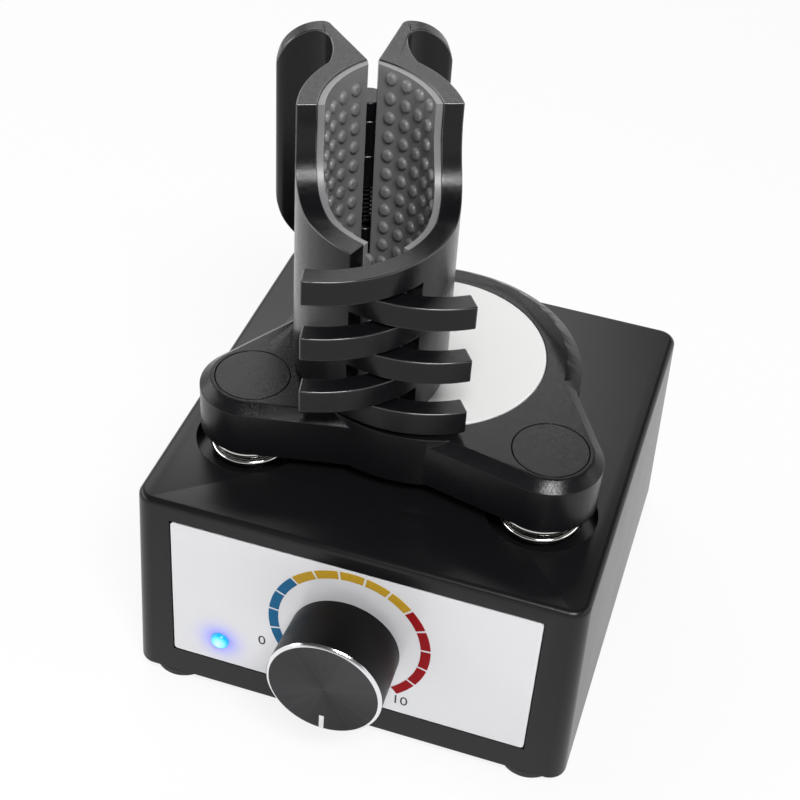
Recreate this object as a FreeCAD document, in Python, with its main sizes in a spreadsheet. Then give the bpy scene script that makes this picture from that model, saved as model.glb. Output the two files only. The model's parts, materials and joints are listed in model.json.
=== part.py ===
"""Nail polish shaker machine, as a parametric document with one STEP file for each piece.

The frame: +Z up, +Y to the back, X to the right when seen from the front. The origin is on the
surface that the machine stands on, in the middle of its bounding box. Most pieces are drawn
about the housing's centre line, and the clamp's about its own place on the platform.
"""
import FreeCAD, Part
import math
import os
import re

import Sketcher
from FreeCAD import Placement, Rotation, Vector

SIZES = {
    # housing
    "FootHeight": 4.0,
    "FootRadius": 8.8,
    "FootTaper": 0.5,
    "FootX": 50.5,
    "FootY": 53.1,
    "HousingWidth": 120.0,
    "HousingDepth": 119.8,
    "HousingHeight": 62.1,
    "DraftAcross": 1.39,
    "DraftDeep": 2.11,
    "CornerRadius": 5.0,
    "TopEdgeRadius": 1.8,
    "Wall": 3.0,
    "WellRadius": 14.8,
    "WellDepth": 4.1,
    "WellWall": 2.0,
    "RearWellRadius": 12.0,
    "HubHoleRadius": 9.5,
    "BossRadius": 4.0,
    "CaseBossX": 40.0,
    "CaseBossY": 47.0,
    "BracketBossX": 26.0,
    "BracketBossY": 11.0,
    "PilotRadius": 1.2,
    "PlateThickness": 2.5,
    "PlateGap": 0.2,
    "VentRadius": 1.6,
    "VentCount": 8,
    "Setback": 8.8755,
    # fasteners
    "ScrewRadius": 1.5,
    "ScrewHeadRadius": 2.8,
    "ScrewHeadHeight": 1.8,
    "ScrewThreadRadius": 1.2,
    "ScrewLength": 9.0,
    "SocketRadius": 1.1,
    "SocketDepth": 1.0,
    "Overrun": 1.0,
    # front panel and dial
    "PanelWidth": 99.4,
    "PanelHeight": 47.3,
    "PanelBottom": 9.0,
    "PanelThickness": 1.5,
    "PanelCorner": 1.0,
    "PanelGap": 0.35,
    "DialHeight": 33.27,
    "DialOuterRadius": 22.3,
    "DialInnerRadius": 19.6,
    "DialMarkThickness": 0.1,
    "DialStart": -51.3,
    "DialStep": 18.84,
    "DialGap": 1.7,
    "LampX": -36.15,
    "LampHeight": 17.1,
    "LampRadius": 2.5,
    "LampFlangeRadius": 2.9,
    "LampDepth": 7.5,
    "LampReach": 0.4,
    # knob and potentiometer
    "KnobBackRadius": 14.9,
    "KnobFrontRadius": 15.5,
    "KnobGap": 3.0,
    "KnobReach": 19.9,
    "KnobBevel": 1.0,
    "KnobSocketRadius": 11.5,
    "KnobSocketDepth": 7.0,
    "PointerInner": 9.9,
    "PointerWidth": 1.3,
    "PointerDepth": 0.4,
    "ShaftRadius": 3.0,
    "ShaftReach": 17.0,
    "RunningGap": 0.05,
    "BushRadius": 3.5,
    "BushReach": 2.8,
    "PotRadius": 8.2,
    "PotDepth": 8.0,
    "PotEnd": 1.0,
    "LugWidth": 1.2,
    "LugThickness": 0.6,
    "LugLength": 5.0,
    "LugSpacing": 4.0,
    "WasherRadius": 5.8,
    "WasherThickness": 0.6,
    "NutWidth": 10.0,
    "NutThickness": 2.0,
    # drive
    "MotorRadius": 13.9,
    "MotorBottom": 14.0,
    "MotorTop": 44.0,
    "CanWall": 1.2,
    "MagnetThickness": 2.4,
    "MagnetSweep": 130.0,
    "MagnetOverhang": 2.0,
    "ArmatureRadius": 9.8,
    "ArmatureHeight": 18.0,
    "ArmatureSlots": 5,
    "MotorShaftRadius": 1.58,
    "BracketThickness": 1.5,
    "BracketWidth": 62.0,
    "BracketDepth": 32.0,
    "MotorScrewSpacing": 16.0,
    "Throw": 1.0,
    "HubBottom": 48.5,
    "HubCollarRadius": 7.0,
    "HubCollarHeight": 8.0,
    "HubNeckRadius": 6.0,
    "CounterweightRadius": 16.0,
    "CounterweightHeight": 7.0,
    "CrankPinRadius": 3.97,
    "CrankPinTop": 79.2,
    "ShoulderRadius": 4.8,
    # crank bearing
    "BearingBottom": 74.5,
    "BearingWidth": 5.0,
    "BearingBore": 4.0,
    "BearingOuter": 8.0,
    "InnerRingRadius": 5.3,
    "OuterRingRadius": 6.7,
    "BallRadius": 1.0,
    "BallCount": 10,
    "GrooveGap": 0.05,
    "CageThickness": 0.7,
    "CageInset": 0.5,
    # platform
    "PlatformBottom": 71.0,
    "PlatformTop": 86.5,
    "DiscRadius": 36.9,
    "DiscWallRadius": 41.2,
    "DiscBevelHeight": 2.9,
    "LobeX": 40.1,
    "LobeY": 26.5,
    "LobeRadius": 13.9,
    "LobeBevel": 2.9,
    "LobeBevelHeight": 2.5,
    "ArmFrontAngle": 12.2,
    "ArmBackAngle": 60.0,
    "ArmFrontLength": 32.0,
    "ArmBackLength": 34.0,
    "BayInset": 5.0,
    "PinRoom": 1.5,
    "PlinthRoot": 4.0,
    "TopDiscRadius": 31.2,
    "TopDiscThickness": 2.0,
    "TopDiscProud": 0.2,
    "FitGap": 0.2,
    "LobeCapRadius": 9.75,
    "LobeCapThickness": 1.5,
    "PocketRadius": 12.4,
    "PocketTop": 80.0,
    # springs
    "SpringRadius": 10.1,
    "SpringWire": 0.9,
    "SpringPitch": 3.0,
    "RearSpringY": 24.0,
    "SpringGap": 0.3,
    "TorsionRadius": 3.0,
    "TorsionWire": 0.4,
    "TorsionPitch": 1.35,
    # clamp
    "ClampX": -13.76,
    "ClampY": -8.72,
    "ClampTurn": 23.7,
    "JawOffset": 13.9,
    "JawForward": 1.1,
    "JawRadius": 34.3,
    "JawWall": 5.2,
    "JawBottom": 88.0,
    "JawTop": 161.0,
    "JawRim": 136.6,
    "LeftRimStep": 1.8,
    "JawCut": 4.5,
    "JawCutRadius": 18.0,
    "JawBackAngle": 121.6,
    "JawGap": 2.6,
    "JawFrontAngle": 228.5,
    "FingerAngle": 282.0,
    "FingerOverlap": 1.0,
    "FingerHeight": 6.7,
    "FingerPitch": 8.2,
    "FingerTop": 136.2,
    "LastFingerHeight": 7.0,
    "WingBottom": 92.0,
    "WingStart": 37.0,
    "WingReach": 23.1,
    "WingTopCorner": 12.6,
    "WingLowCorner": 18.0,
    "WingRootAngle": 137.0,
    "ClampSpan": 120.0,
    "PadThickness": 1.6,
    "PadBottomGap": 1.5,
    "PadTopGap": 0.4,
    # clamp hinge
    "HingeY": 30.0,
    "KnuckleRadius": 4.0,
    "KnuckleTrim": 4.6,
    "KnuckleGap": 0.4,
    "LowKnuckle": 11.0,
    "SecondKnuckle": 10.6,
    "SpringRoom": 12.2,
    "ThirdKnuckle": 9.6,
    "HighKnuckle": 10.0,
    "HingePinRadius": 1.5,
    "PinFoot": 80.5,
    "PinTop": 146.0,
    "CapTop": 148.4,
    "PlinthRadius": 5.0,
    "HingeWasher": 1.0,
    # electronics
    "BoardLength": 50.0,
    "BoardWidth": 28.0,
    "BoardThickness": 1.6,
    "BoardX": -35.0,
    "BoardZ": 12.0,
    "StandoffRadius": 2.5,
    "CapacitorRadius": 4.0,
    "CapacitorHeight": 11.0,
    "TransistorWidth": 10.0,
    "TransistorDepth": 4.5,
    "TabThickness": 1.3,
    "TransistorHeight": 15.0,
    "InletX": 30.0,
    "InletHeight": 20.0,
    "InletRadius": 4.0,
    "InletFlangeRadius": 5.5,
    "InletFlange": 1.5,
    "InletLength": 14.0,
    "InletBoreRadius": 2.75,
    "InletPinRadius": 1.0,
    "InletNutWidth": 11.0,
    "InletBoreDepth": 9.0,
}

ALIAS = re.compile(r"\b[A-Z][A-Za-z]+")
UP = Rotation()
OUT = Rotation(Vector(1, 0, 0), 90)

doc = FreeCAD.newDocument("NailPolishShaker")
sheet = doc.addObject("Spreadsheet::Sheet", "Sizes")
for row, (alias, value) in enumerate(SIZES.items(), start=1):
    sheet.set("A%d" % row, alias)
    sheet.set("B%d" % row, str(value))
    sheet.setAlias("B%d" % row, alias)
doc.recompute()

pieces = []


def size(formula):
    """The value of a formula in the sheet's aliases."""
    return float(sheet.evalExpression(in_sheet(formula)))


def in_sheet(formula):
    """The formula with the sheet's name before each alias."""
    return ALIAS.sub(lambda word: "Sizes." + word.group(), formula)


def bind(thing, **formulas):
    """Bind properties to formulas in the sheet's aliases, and set plain numbers as they are."""
    for name, formula in formulas.items():
        if isinstance(formula, str):
            thing.setExpression(name, in_sheet(formula))
        else:
            setattr(thing, name, formula)
    return thing


def place(thing, x=0, y=0, z=0, turn=UP):
    """Place an object. Each coordinate is a plain number or a formula."""
    plain = [0 if isinstance(value, str) else value for value in (x, y, z)]
    thing.Placement = Placement(Vector(*plain), turn)
    for axis, value in zip("xyz", (x, y, z)):
        if isinstance(value, str):
            thing.setExpression("Placement.Base." + axis, in_sheet(value))
    return thing


def cylinder(name, radius, height, x=0, y=0, z=0, turn=UP, sweep=360):
    """A round bar, or a sector of one, that starts at a point and runs along its own z."""
    bar = doc.addObject("Part::Cylinder", name)
    bind(bar, Radius=radius, Height=height, Angle=sweep)
    return place(bar, x, y, z, turn)


def cone(name, low, high, height, x=0, y=0, z=0, turn=UP):
    """A tapered round bar."""
    bar = doc.addObject("Part::Cone", name)
    bind(bar, Radius1=low, Radius2=high, Height=height)
    return place(bar, x, y, z, turn)


def box(name, length, width, height, x=0, y=0, z=0, turn=UP):
    """A block from its low corner."""
    block = doc.addObject("Part::Box", name)
    bind(block, Length=length, Width=width, Height=height)
    return place(block, x, y, z, turn)


def cut(name, base, tool):
    """The base without the tool."""
    thing = doc.addObject("Part::Cut", name)
    thing.Base = base
    thing.Tool = tool
    return thing


def fuse(name, shapes):
    """Several solids as one."""
    thing = doc.addObject("Part::MultiFuse", name)
    thing.Shapes = shapes
    return thing


def common(name, first, second):
    """What two solids share."""
    thing = doc.addObject("Part::MultiCommon", name)
    thing.Shapes = [first, second]
    return thing


def group(name, shapes):
    """Separate solids kept in one piece's file."""
    thing = doc.addObject("Part::Compound", name)
    thing.Links = shapes
    return thing


def ring(name, outer, inner, height, x=0, y=0, z=0, turn=UP):
    """A washer or tube."""
    bar = cylinder(name + "_outside", outer, height, x, y, z, turn)
    hole = cylinder(name + "_inside", inner, height, x, y, z, turn)
    return cut(name, bar, hole)


def arc_wall(name, outer, inner, height, start, sweep, x=0, y=0, z=0):
    """A stretch of round wall between two angles."""
    turn = Rotation(Vector(0, 0, 1), size(start))
    bar = cylinder(name + "_outside", outer, height, x, y, z, turn, sweep)
    hole = cylinder(name + "_inside", inner, height, x, y, z)
    return cut(name, bar, hole)


def prism(name, points, height, z=0, turn=UP):
    """An upright prism over a closed outline of points, lines between them."""
    outline = [Vector(x, y, 0) for x, y in points]
    edges = [Part.LineSegment(a, b).toShape() for a, b in zip(outline, outline[1:] + outline[:1])]
    return extruded(name, edges, height, z, turn)


def extruded(name, edges, height, z=0, turn=UP):
    """A prism over a closed outline of edges in the XY plane."""
    outline = doc.addObject("Part::Feature", name + "_outline")
    outline.Shape = Part.Wire(edges)
    solid = doc.addObject("Part::Extrusion", name)
    solid.Base = outline
    solid.DirMode = "Custom"
    solid.Dir = Vector(0, 0, 1)
    solid.Solid = True
    bind(solid, LengthFwd=height)
    return place(solid, z=z, turn=turn)


def line(start, end):
    """A straight edge in the XY plane."""
    return Part.LineSegment(Vector(*start, 0), Vector(*end, 0)).toShape()


def arc(start, middle, end):
    """A round edge in the XY plane through three points."""
    return Part.Arc(Vector(*start, 0), Vector(*middle, 0), Vector(*end, 0)).toShape()


def piece(thing, label, placement=None):
    """Name a finished piece, put it in the row's frame and keep it for the output."""
    if thing.ExpressionEngine or not thing.Placement.isIdentity():
        thing = group(label + "_placed", [thing])
    thing.Label = label
    thing.Placement = SHIFT.multiply(placement) if placement else SHIFT
    pieces.append(thing)
    return thing


def origin_plane(body, role):
    """One of a body's own planes."""
    return next(plane for plane in body.Origin.OriginFeatures if plane.Role == role)


def rounded_sketch(body, name, width, depth, radius, height=0, plane="XY_Plane"):
    """A constrained rounded rectangle about the body's origin, whose sides follow the sheet."""
    sketch = body.newObject("Sketcher::SketchObject", name)
    sketch.AttachmentSupport = (origin_plane(body, plane), [""])
    sketch.MapMode = "FlatFace"
    if height:
        sketch.setExpression("AttachmentOffset.Base.z", in_sheet(height))
    half_x, half_y, r = size(width) / 2, size(depth) / 2, size(radius)
    corners = [(half_x, -half_y), (half_x, half_y), (-half_x, half_y), (-half_x, -half_y)]
    turns = [-90, 0, 90, 180]
    inset = [(corner[0] - math.copysign(r, corner[0]), corner[1] - math.copysign(r, corner[1]))
             for corner in corners]
    for index in range(4):
        angle = math.radians(turns[index])
        before = inset[index - 1]
        start = Vector(before[0] + r * math.cos(angle), before[1] + r * math.sin(angle), 0)
        here = inset[index]
        end = Vector(here[0] + r * math.cos(angle), here[1] + r * math.sin(angle), 0)
        sketch.addGeometry(Part.LineSegment(start, end))
        circle = Part.Circle(Vector(here[0], here[1], 0), Vector(0, 0, 1), r)
        sketch.addGeometry(Part.ArcOfCircle(circle, angle, angle + math.pi / 2))
    for index in range(4):
        side, bend, after = 2 * index, 2 * index + 1, (2 * index + 2) % 8
        sketch.addConstraint(Sketcher.Constraint("Tangent", side, 2, bend, 1))
        sketch.addConstraint(Sketcher.Constraint("Tangent", bend, 2, after, 1))
        sketch.addConstraint(Sketcher.Constraint("Horizontal" if index % 2 == 0 else "Vertical", side))
        if index:
            sketch.addConstraint(Sketcher.Constraint("Equal", 1, bend))
    sketch.addConstraint(Sketcher.Constraint("Symmetric", 0, 1, 4, 1, -1, 1))
    spans = {
        "Across": (Sketcher.Constraint("DistanceX", 6, 1, 2, 1, 2 * half_x), width),
        "Deep": (Sketcher.Constraint("DistanceY", 0, 1, 4, 1, 2 * half_y), depth),
        "Corner": (Sketcher.Constraint("Radius", 1, r), radius),
    }
    for span, (constraint, formula) in spans.items():
        sketch.renameConstraint(sketch.addConstraint(constraint), span)
        sketch.setExpression("Constraints." + span, in_sheet(formula))
    return sketch


def rounded(name, thing, radius, test):
    """A solid with the edges rounded whose every vertex pair passes a test."""
    doc.recompute()
    edges = [number for number, edge in enumerate(thing.Shape.Edges, start=1)
             if test(*[vertex.Point for vertex in edge.Vertexes])]
    fillet = doc.addObject("Part::Fillet", name)
    fillet.Base = thing
    fillet.Edges = [(number, size(radius), size(radius)) for number in edges]
    return fillet


SHIFT = Placement(Vector(0, size("Setback"), 0), UP)
WALL_TILT = -math.degrees(math.atan(size("DraftDeep / HousingHeight")))
FRONT = Placement(Vector(0, -size("HousingDepth / 2 + DraftDeep"), size("FootHeight")),
                  Rotation(Vector(1, 0, 0), WALL_TILT))
CLAMP = Placement(Vector(size("ClampX"), size("ClampY"), 0),
                  Rotation(Vector(0, 0, 1), size("ClampTurn")))
HOUSING_TOP = "FootHeight + HousingHeight"
PLATE_TOP = "FootHeight + PlateThickness"
SIDES = (-1, 1)
CORNERS = [(x, y) for x in SIDES for y in SIDES]


def spread(formula, sign):
    """A formula on one side or the other of the middle."""
    return "%d * (%s)" % (sign, formula)


def hexagon(name, width, height, x, y, z):
    """A hexagonal block with its flats that far apart, its axis level and to the front."""
    radius = size(width) / math.sqrt(3)
    points = [(radius * math.cos(math.radians(60 * k)), radius * math.sin(math.radians(60 * k)))
              for k in range(6)]
    return place(prism(name, points, height), x, y, z, OUT)


def front_bar(name, radius, start, reach, x=0, z="DialHeight"):
    """A round bar out of the front wall, from one depth behind its face to a reach before it."""
    return cylinder(name, radius, "%s + %s" % (start, reach), x, start, z, OUT)


def screws(name, places, z, down=True):
    """Pan-head screws, their heads under or over the face they hold, each with a socket."""
    solids = []
    for number, (x, y) in enumerate(places, start=1):
        label = "%s_%d" % (name, number)
        if down:
            head = cylinder(label + "_head", "ScrewHeadRadius", "ScrewHeadHeight", x, y,
                            z + " - ScrewHeadHeight")
            shank = cylinder(label + "_shank", "ScrewThreadRadius", "ScrewLength", x, y, z)
            socket = cylinder(label + "_socket", "SocketRadius", "SocketDepth", x, y,
                              z + " - ScrewHeadHeight")
        else:
            head = cylinder(label + "_head", "ScrewHeadRadius", "ScrewHeadHeight", x, y, z)
            shank = cylinder(label + "_shank", "ScrewThreadRadius", "ScrewLength / 2", x, y,
                             z + " - ScrewLength / 2")
            socket = cylinder(label + "_socket", "SocketRadius", "SocketDepth", x, y,
                              z + " + ScrewHeadHeight - SocketDepth")
        solids.append(cut(label, fuse(label + "_body", [head, shank]), socket))
    return group(name, solids)


# housing
def drafted_box(name, inset, top):
    """A box that narrows upwards, from the housing's foot to a height, its sides' edges round."""
    block = doc.addObject("Part::Wedge", name + "_block")
    lean = "(1 - (%s) / HousingHeight)" % top
    foot_x = "HousingWidth / 2 + DraftAcross - " + inset
    foot_y = "HousingDepth / 2 + DraftDeep - " + inset
    top_x = "HousingWidth / 2 + DraftAcross * %s - %s" % (lean, inset)
    top_y = "HousingDepth / 2 + DraftDeep * %s - %s" % (lean, inset)
    bind(block, Ymin=0, Ymax=top, Xmin="-(%s)" % foot_x, Xmax=foot_x, Zmin="-(%s)" % foot_y,
         Zmax=foot_y, X2min="-(%s)" % top_x, X2max=top_x, Z2min="-(%s)" % top_y, Z2max=top_y)
    place(block, z="FootHeight", turn=OUT)
    return rounded(name + "_corners", block, "CornerRadius - %s * 2 / 3" % inset,
                   lambda low, high: abs(low.z - high.z) > 1)


def housing_shell():
    """The hollow case with its spring wells, bosses and openings."""
    roof = size(HOUSING_TOP)
    outside = rounded("case_edge", drafted_box("case_outside", "0", "HousingHeight"), "TopEdgeRadius",
                      lambda *ends: all(abs(end.z - roof) < 0.01 for end in ends))
    inside = drafted_box("case_inside", "Wall", "HousingHeight - Wall")
    wells = [("left", "-LobeX", "-LobeY - Throw", "WellRadius"),
             ("right", "LobeX", "-LobeY - Throw", "WellRadius"),
             ("rear", "0", "RearSpringY", "RearWellRadius")]
    added = [cut("case_walls", outside, inside)]
    taken = []
    floor_z = HOUSING_TOP + " - WellDepth"
    for side, x, y, radius in wells:
        added.append(cylinder("well_cup_" + side, radius + " + WellWall",
                              "WellDepth + WellWall - Wall / 2", x, y, floor_z + " - WellWall"))
        hollow = cylinder("well_hollow_" + side, radius, "WellDepth + Wall", x, y, floor_z)
        spigot = cylinder("well_spigot_" + side, "SpringRadius - SpringWire - 2 * SpringGap",
                          "WellDepth / 2", x, y, floor_z)
        taken.append(cut("well_space_" + side, hollow, spigot))
    for number, (x, y) in enumerate(CORNERS, start=1):
        case_x, case_y = spread("CaseBossX", x), spread("CaseBossY", y)
        added.append(cylinder("case_boss_%d" % number, "BossRadius",
                              "HousingHeight - PlateThickness - Wall / 2", case_x, case_y, PLATE_TOP))
        taken.append(cylinder("case_pilot_%d" % number, "PilotRadius", "ScrewLength", case_x, case_y,
                              PLATE_TOP))
        post_x, post_y = spread("BracketBossX", x), spread("BracketBossY", y)
        added.append(cylinder("bracket_boss_%d" % number, "BossRadius",
                              HOUSING_TOP + " - Wall / 2 - MotorTop - BracketThickness", post_x, post_y,
                              "MotorTop + BracketThickness"))
        taken.append(cylinder("bracket_pilot_%d" % number, "PilotRadius", "ScrewLength", post_x, post_y,
                              "MotorTop + BracketThickness"))
    taken.append(cylinder("hub_hole", "HubHoleRadius", "3 * Wall", z=HOUSING_TOP + " - 2 * Wall"))
    recess = box("panel_recess", "PanelWidth + 2 * PanelGap", "PanelThickness + Wall",
                 "PanelHeight + 2 * PanelGap", "-PanelWidth / 2 - PanelGap", "-Wall",
                 "PanelBottom - PanelGap")
    front_tools = group("front_openings", [
        recess,
        front_bar("pot_hole", "BushRadius + FitGap", "2 * Wall", "Wall"),
        front_bar("lamp_hole", "LampFlangeRadius + FitGap", "2 * Wall", "Wall", "LampX", "LampHeight"),
    ])
    front_tools.Placement = FRONT
    taken.append(front_tools)
    taken.append(cylinder("inlet_hole", "InletRadius + FitGap", "4 * Wall", "InletX",
                          "HousingDepth / 2 + 2 * Wall", "InletHeight", OUT))
    return piece(cut("housing", fuse("case_with_bosses", added), fuse("case_tools", taken)),
                 "housing_shell")


def bottom_plate():
    """The plate that closes the case, with its four screws and a ring of vents."""
    body = doc.addObject("PartDesign::Body", "plate_blank")
    outline = rounded_sketch(body, "plate_outline",
                             "HousingWidth + 2 * DraftAcross - 2 * Wall - 4 * PlateGap",
                             "HousingDepth + 2 * DraftDeep - 2 * Wall - 4 * PlateGap",
                             "CornerRadius - 2 * Wall / 3", "FootHeight")
    pad = body.newObject("PartDesign::Pad", "plate_pad")
    pad.Profile = outline
    bind(pad, Length="PlateThickness")
    holes = [cylinder("plate_hole_%d" % number, "ScrewThreadRadius + FitGap", "3 * PlateThickness",
                      spread("CaseBossX", x), spread("CaseBossY", y), "FootHeight - PlateThickness")
             for number, (x, y) in enumerate(CORNERS, start=1)]
    for number in range(int(size("VentCount"))):
        angle = 2 * math.pi * number / size("VentCount")
        holes.append(cylinder("vent_%d" % number, "VentRadius", "3 * PlateThickness",
                              "MotorRadius * %.4f * 2 / 3" % math.cos(angle),
                              "MotorRadius * %.4f * 2 / 3" % math.sin(angle),
                              "FootHeight - PlateThickness"))
    piece(cut("plate", body, fuse("plate_holes", holes)), "bottom_plate")
    places = [(spread("CaseBossX", x), spread("CaseBossY", y)) for x, y in CORNERS]
    piece(screws("case_fixings", places, "FootHeight"), "bottom_screws")


def rubber_feet():
    """Four round feet, a little narrower where they stand."""
    feet = [cone("foot_%d" % number, "FootRadius - FootTaper", "FootRadius", "FootHeight",
                 spread("FootX", x), spread("FootY", y))
            for number, (x, y) in enumerate(CORNERS, start=1)]
    return piece(group("feet", feet), "rubber_feet")


def front_panel():
    """The white plate in the front, with holes for the speed control and the lamp."""
    body = doc.addObject("PartDesign::Body", "panel_blank")
    outline = rounded_sketch(body, "panel_outline", "PanelWidth", "PanelHeight", "PanelCorner",
                             plane="XZ_Plane")
    pad = body.newObject("PartDesign::Pad", "panel_pad")
    pad.Profile = outline
    pad.Reversed = True
    bind(pad, Length="PanelThickness")
    place(body, z="PanelBottom + PanelHeight / 2")
    holes = fuse("panel_holes", [
        front_bar("panel_pot_hole", "BushRadius + RunningGap", "2 * PanelThickness", "PanelThickness"),
        front_bar("panel_lamp_hole", "LampRadius + RunningGap", "2 * PanelThickness",
                  "PanelThickness", "LampX", "LampHeight"),
    ])
    return piece(cut("panel", body, holes), "front_panel", FRONT)


def scale_marks():
    """Fifteen printed marks round the knob, in three colours, cooler to hotter."""
    for third, label in enumerate(("high", "mid", "low")):
        marks = []
        for number in range(5):
            name = "mark_%s_%d" % (label, number)
            start = "DialStart + %d * DialStep + DialGap / 2" % (5 * third + number)
            turn = OUT.multiply(Rotation(Vector(0, 0, 1), size(start)))
            sweep = "DialStep - DialGap"
            outside = cylinder(name + "_outside", "DialOuterRadius", "DialMarkThickness",
                               z="DialHeight", turn=turn, sweep=sweep)
            inside = cylinder(name + "_inside", "DialInnerRadius", "DialMarkThickness",
                              z="DialHeight", turn=turn)
            marks.append(cut(name, outside, inside))
        piece(group("marks_" + label, marks), "scale_marks_" + label, FRONT)


def power_led():
    """The lamp: a round lens with a domed end and a flange behind the panel."""
    lens = front_bar("lamp_lens", "LampRadius", "LampDepth", "LampReach", "LampX", "LampHeight")
    flange = front_bar("lamp_flange", "LampFlangeRadius", "LampDepth",
                       "-PanelThickness", "LampX", "LampHeight")
    dome = doc.addObject("Part::Ellipsoid", "lamp_dome")
    bind(dome, Radius1="LampRadius / 2", Radius2="LampRadius", Radius3="LampRadius")
    place(dome, "LampX", "-LampReach", "LampHeight", OUT)
    return piece(fuse("lamp", [lens, flange, dome]), "power_led", FRONT)


def potentiometer():
    """The speed control: its can and threaded bush, with a washer and a nut."""
    can = front_bar("pot_can", "PotRadius", "PotDepth + Wall", "-Wall")
    bush = front_bar("pot_bush", "BushRadius", "Wall + PotDepth / 2", "BushReach")
    lugs = [box("pot_lug_%d" % (x + 1), "LugWidth", "LugThickness", "LugLength",
                "%d * LugSpacing - LugWidth / 2" % x, "Wall + PotDepth / 2",
                "DialHeight - PotRadius - LugLength + LugWidth") for x in (-1, 0, 1)]
    bore = front_bar("pot_bore", "ShaftRadius + RunningGap", "Wall + PotDepth - PotEnd", "2 * BushReach")
    piece(cut("pot", fuse("pot_solid", [can, bush] + lugs), bore), "potentiometer_body", FRONT)
    washer = ring("pot_washer", "WasherRadius", "BushRadius + RunningGap", "WasherThickness",
                  z="DialHeight", turn=OUT)
    piece(washer, "potentiometer_washer", FRONT)
    nut = hexagon("pot_nut_blank", "NutWidth", "NutThickness", 0, "-WasherThickness", "DialHeight")
    hole = front_bar("pot_nut_hole", "BushRadius + RunningGap", "WasherThickness", "2 * NutThickness")
    piece(cut("pot_nut", nut, hole), "potentiometer_nut", FRONT)


def speed_knob():
    """The knob with its bright bevel, its pointer, its grub screw and the shaft it turns."""
    length = "KnobReach - KnobGap"
    side = cone("knob_side", "KnobBackRadius", "KnobFrontRadius", length + " - KnobBevel",
                y="-KnobGap", z="DialHeight", turn=OUT)
    bevel = cone("knob_bevel", "KnobFrontRadius", "KnobFrontRadius - KnobBevel", "KnobBevel",
                 y="-KnobReach + KnobBevel", z="DialHeight", turn=OUT)
    socket = ring("knob_socket", "KnobSocketRadius", "2 * ShaftRadius", "KnobSocketDepth",
                  y="-KnobGap", z="DialHeight", turn=OUT)
    bore = front_bar("knob_bore", "ShaftRadius", "-KnobGap + FitGap", "ShaftReach + FitGap")
    groove = box("pointer_groove", "PointerWidth", "PointerDepth", "KnobFrontRadius - PointerInner",
                 "-PointerWidth / 2", "-KnobReach", "DialHeight - KnobFrontRadius")
    screw_way = cylinder("knob_screw_way", "ScrewThreadRadius", "KnobFrontRadius",
                         y="-KnobGap - KnobSocketDepth / 2 - ShaftRadius", z="DialHeight")
    body = fuse("knob_blank", [side, bevel])
    tools = fuse("knob_tools", [socket, bore, groove, screw_way])
    piece(cut("knob", body, tools), "speed_knob", FRONT)
    trim = cone("pointer_limit", "KnobFrontRadius", "KnobFrontRadius - KnobBevel", "KnobBevel",
                y="-KnobReach + KnobBevel", z="DialHeight", turn=OUT)
    inlay = box("pointer_inlay", "PointerWidth", "PointerDepth", "KnobFrontRadius - PointerInner",
                "-PointerWidth / 2", "-KnobReach", "DialHeight - KnobFrontRadius")
    piece(common("pointer", inlay, trim), "knob_pointer", FRONT)
    screw = cylinder("knob_screw", "ScrewThreadRadius - RunningGap", "ScrewLength / 2",
                     y="-KnobGap - KnobSocketDepth / 2 - ShaftRadius", z="DialHeight + ShaftRadius")
    key = cylinder("knob_screw_key", "ScrewThreadRadius / 2", "SocketDepth",
                   y="-KnobGap - KnobSocketDepth / 2 - ShaftRadius",
                   z="DialHeight + ShaftRadius + ScrewLength / 2 - SocketDepth")
    piece(cut("knob_grub", screw, key), "knob_set_screw", FRONT)
    shaft = front_bar("pot_shaft", "ShaftRadius", "Wall + PotDepth / 2", "ShaftReach")
    piece(shaft, "potentiometer_shaft", FRONT)


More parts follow.
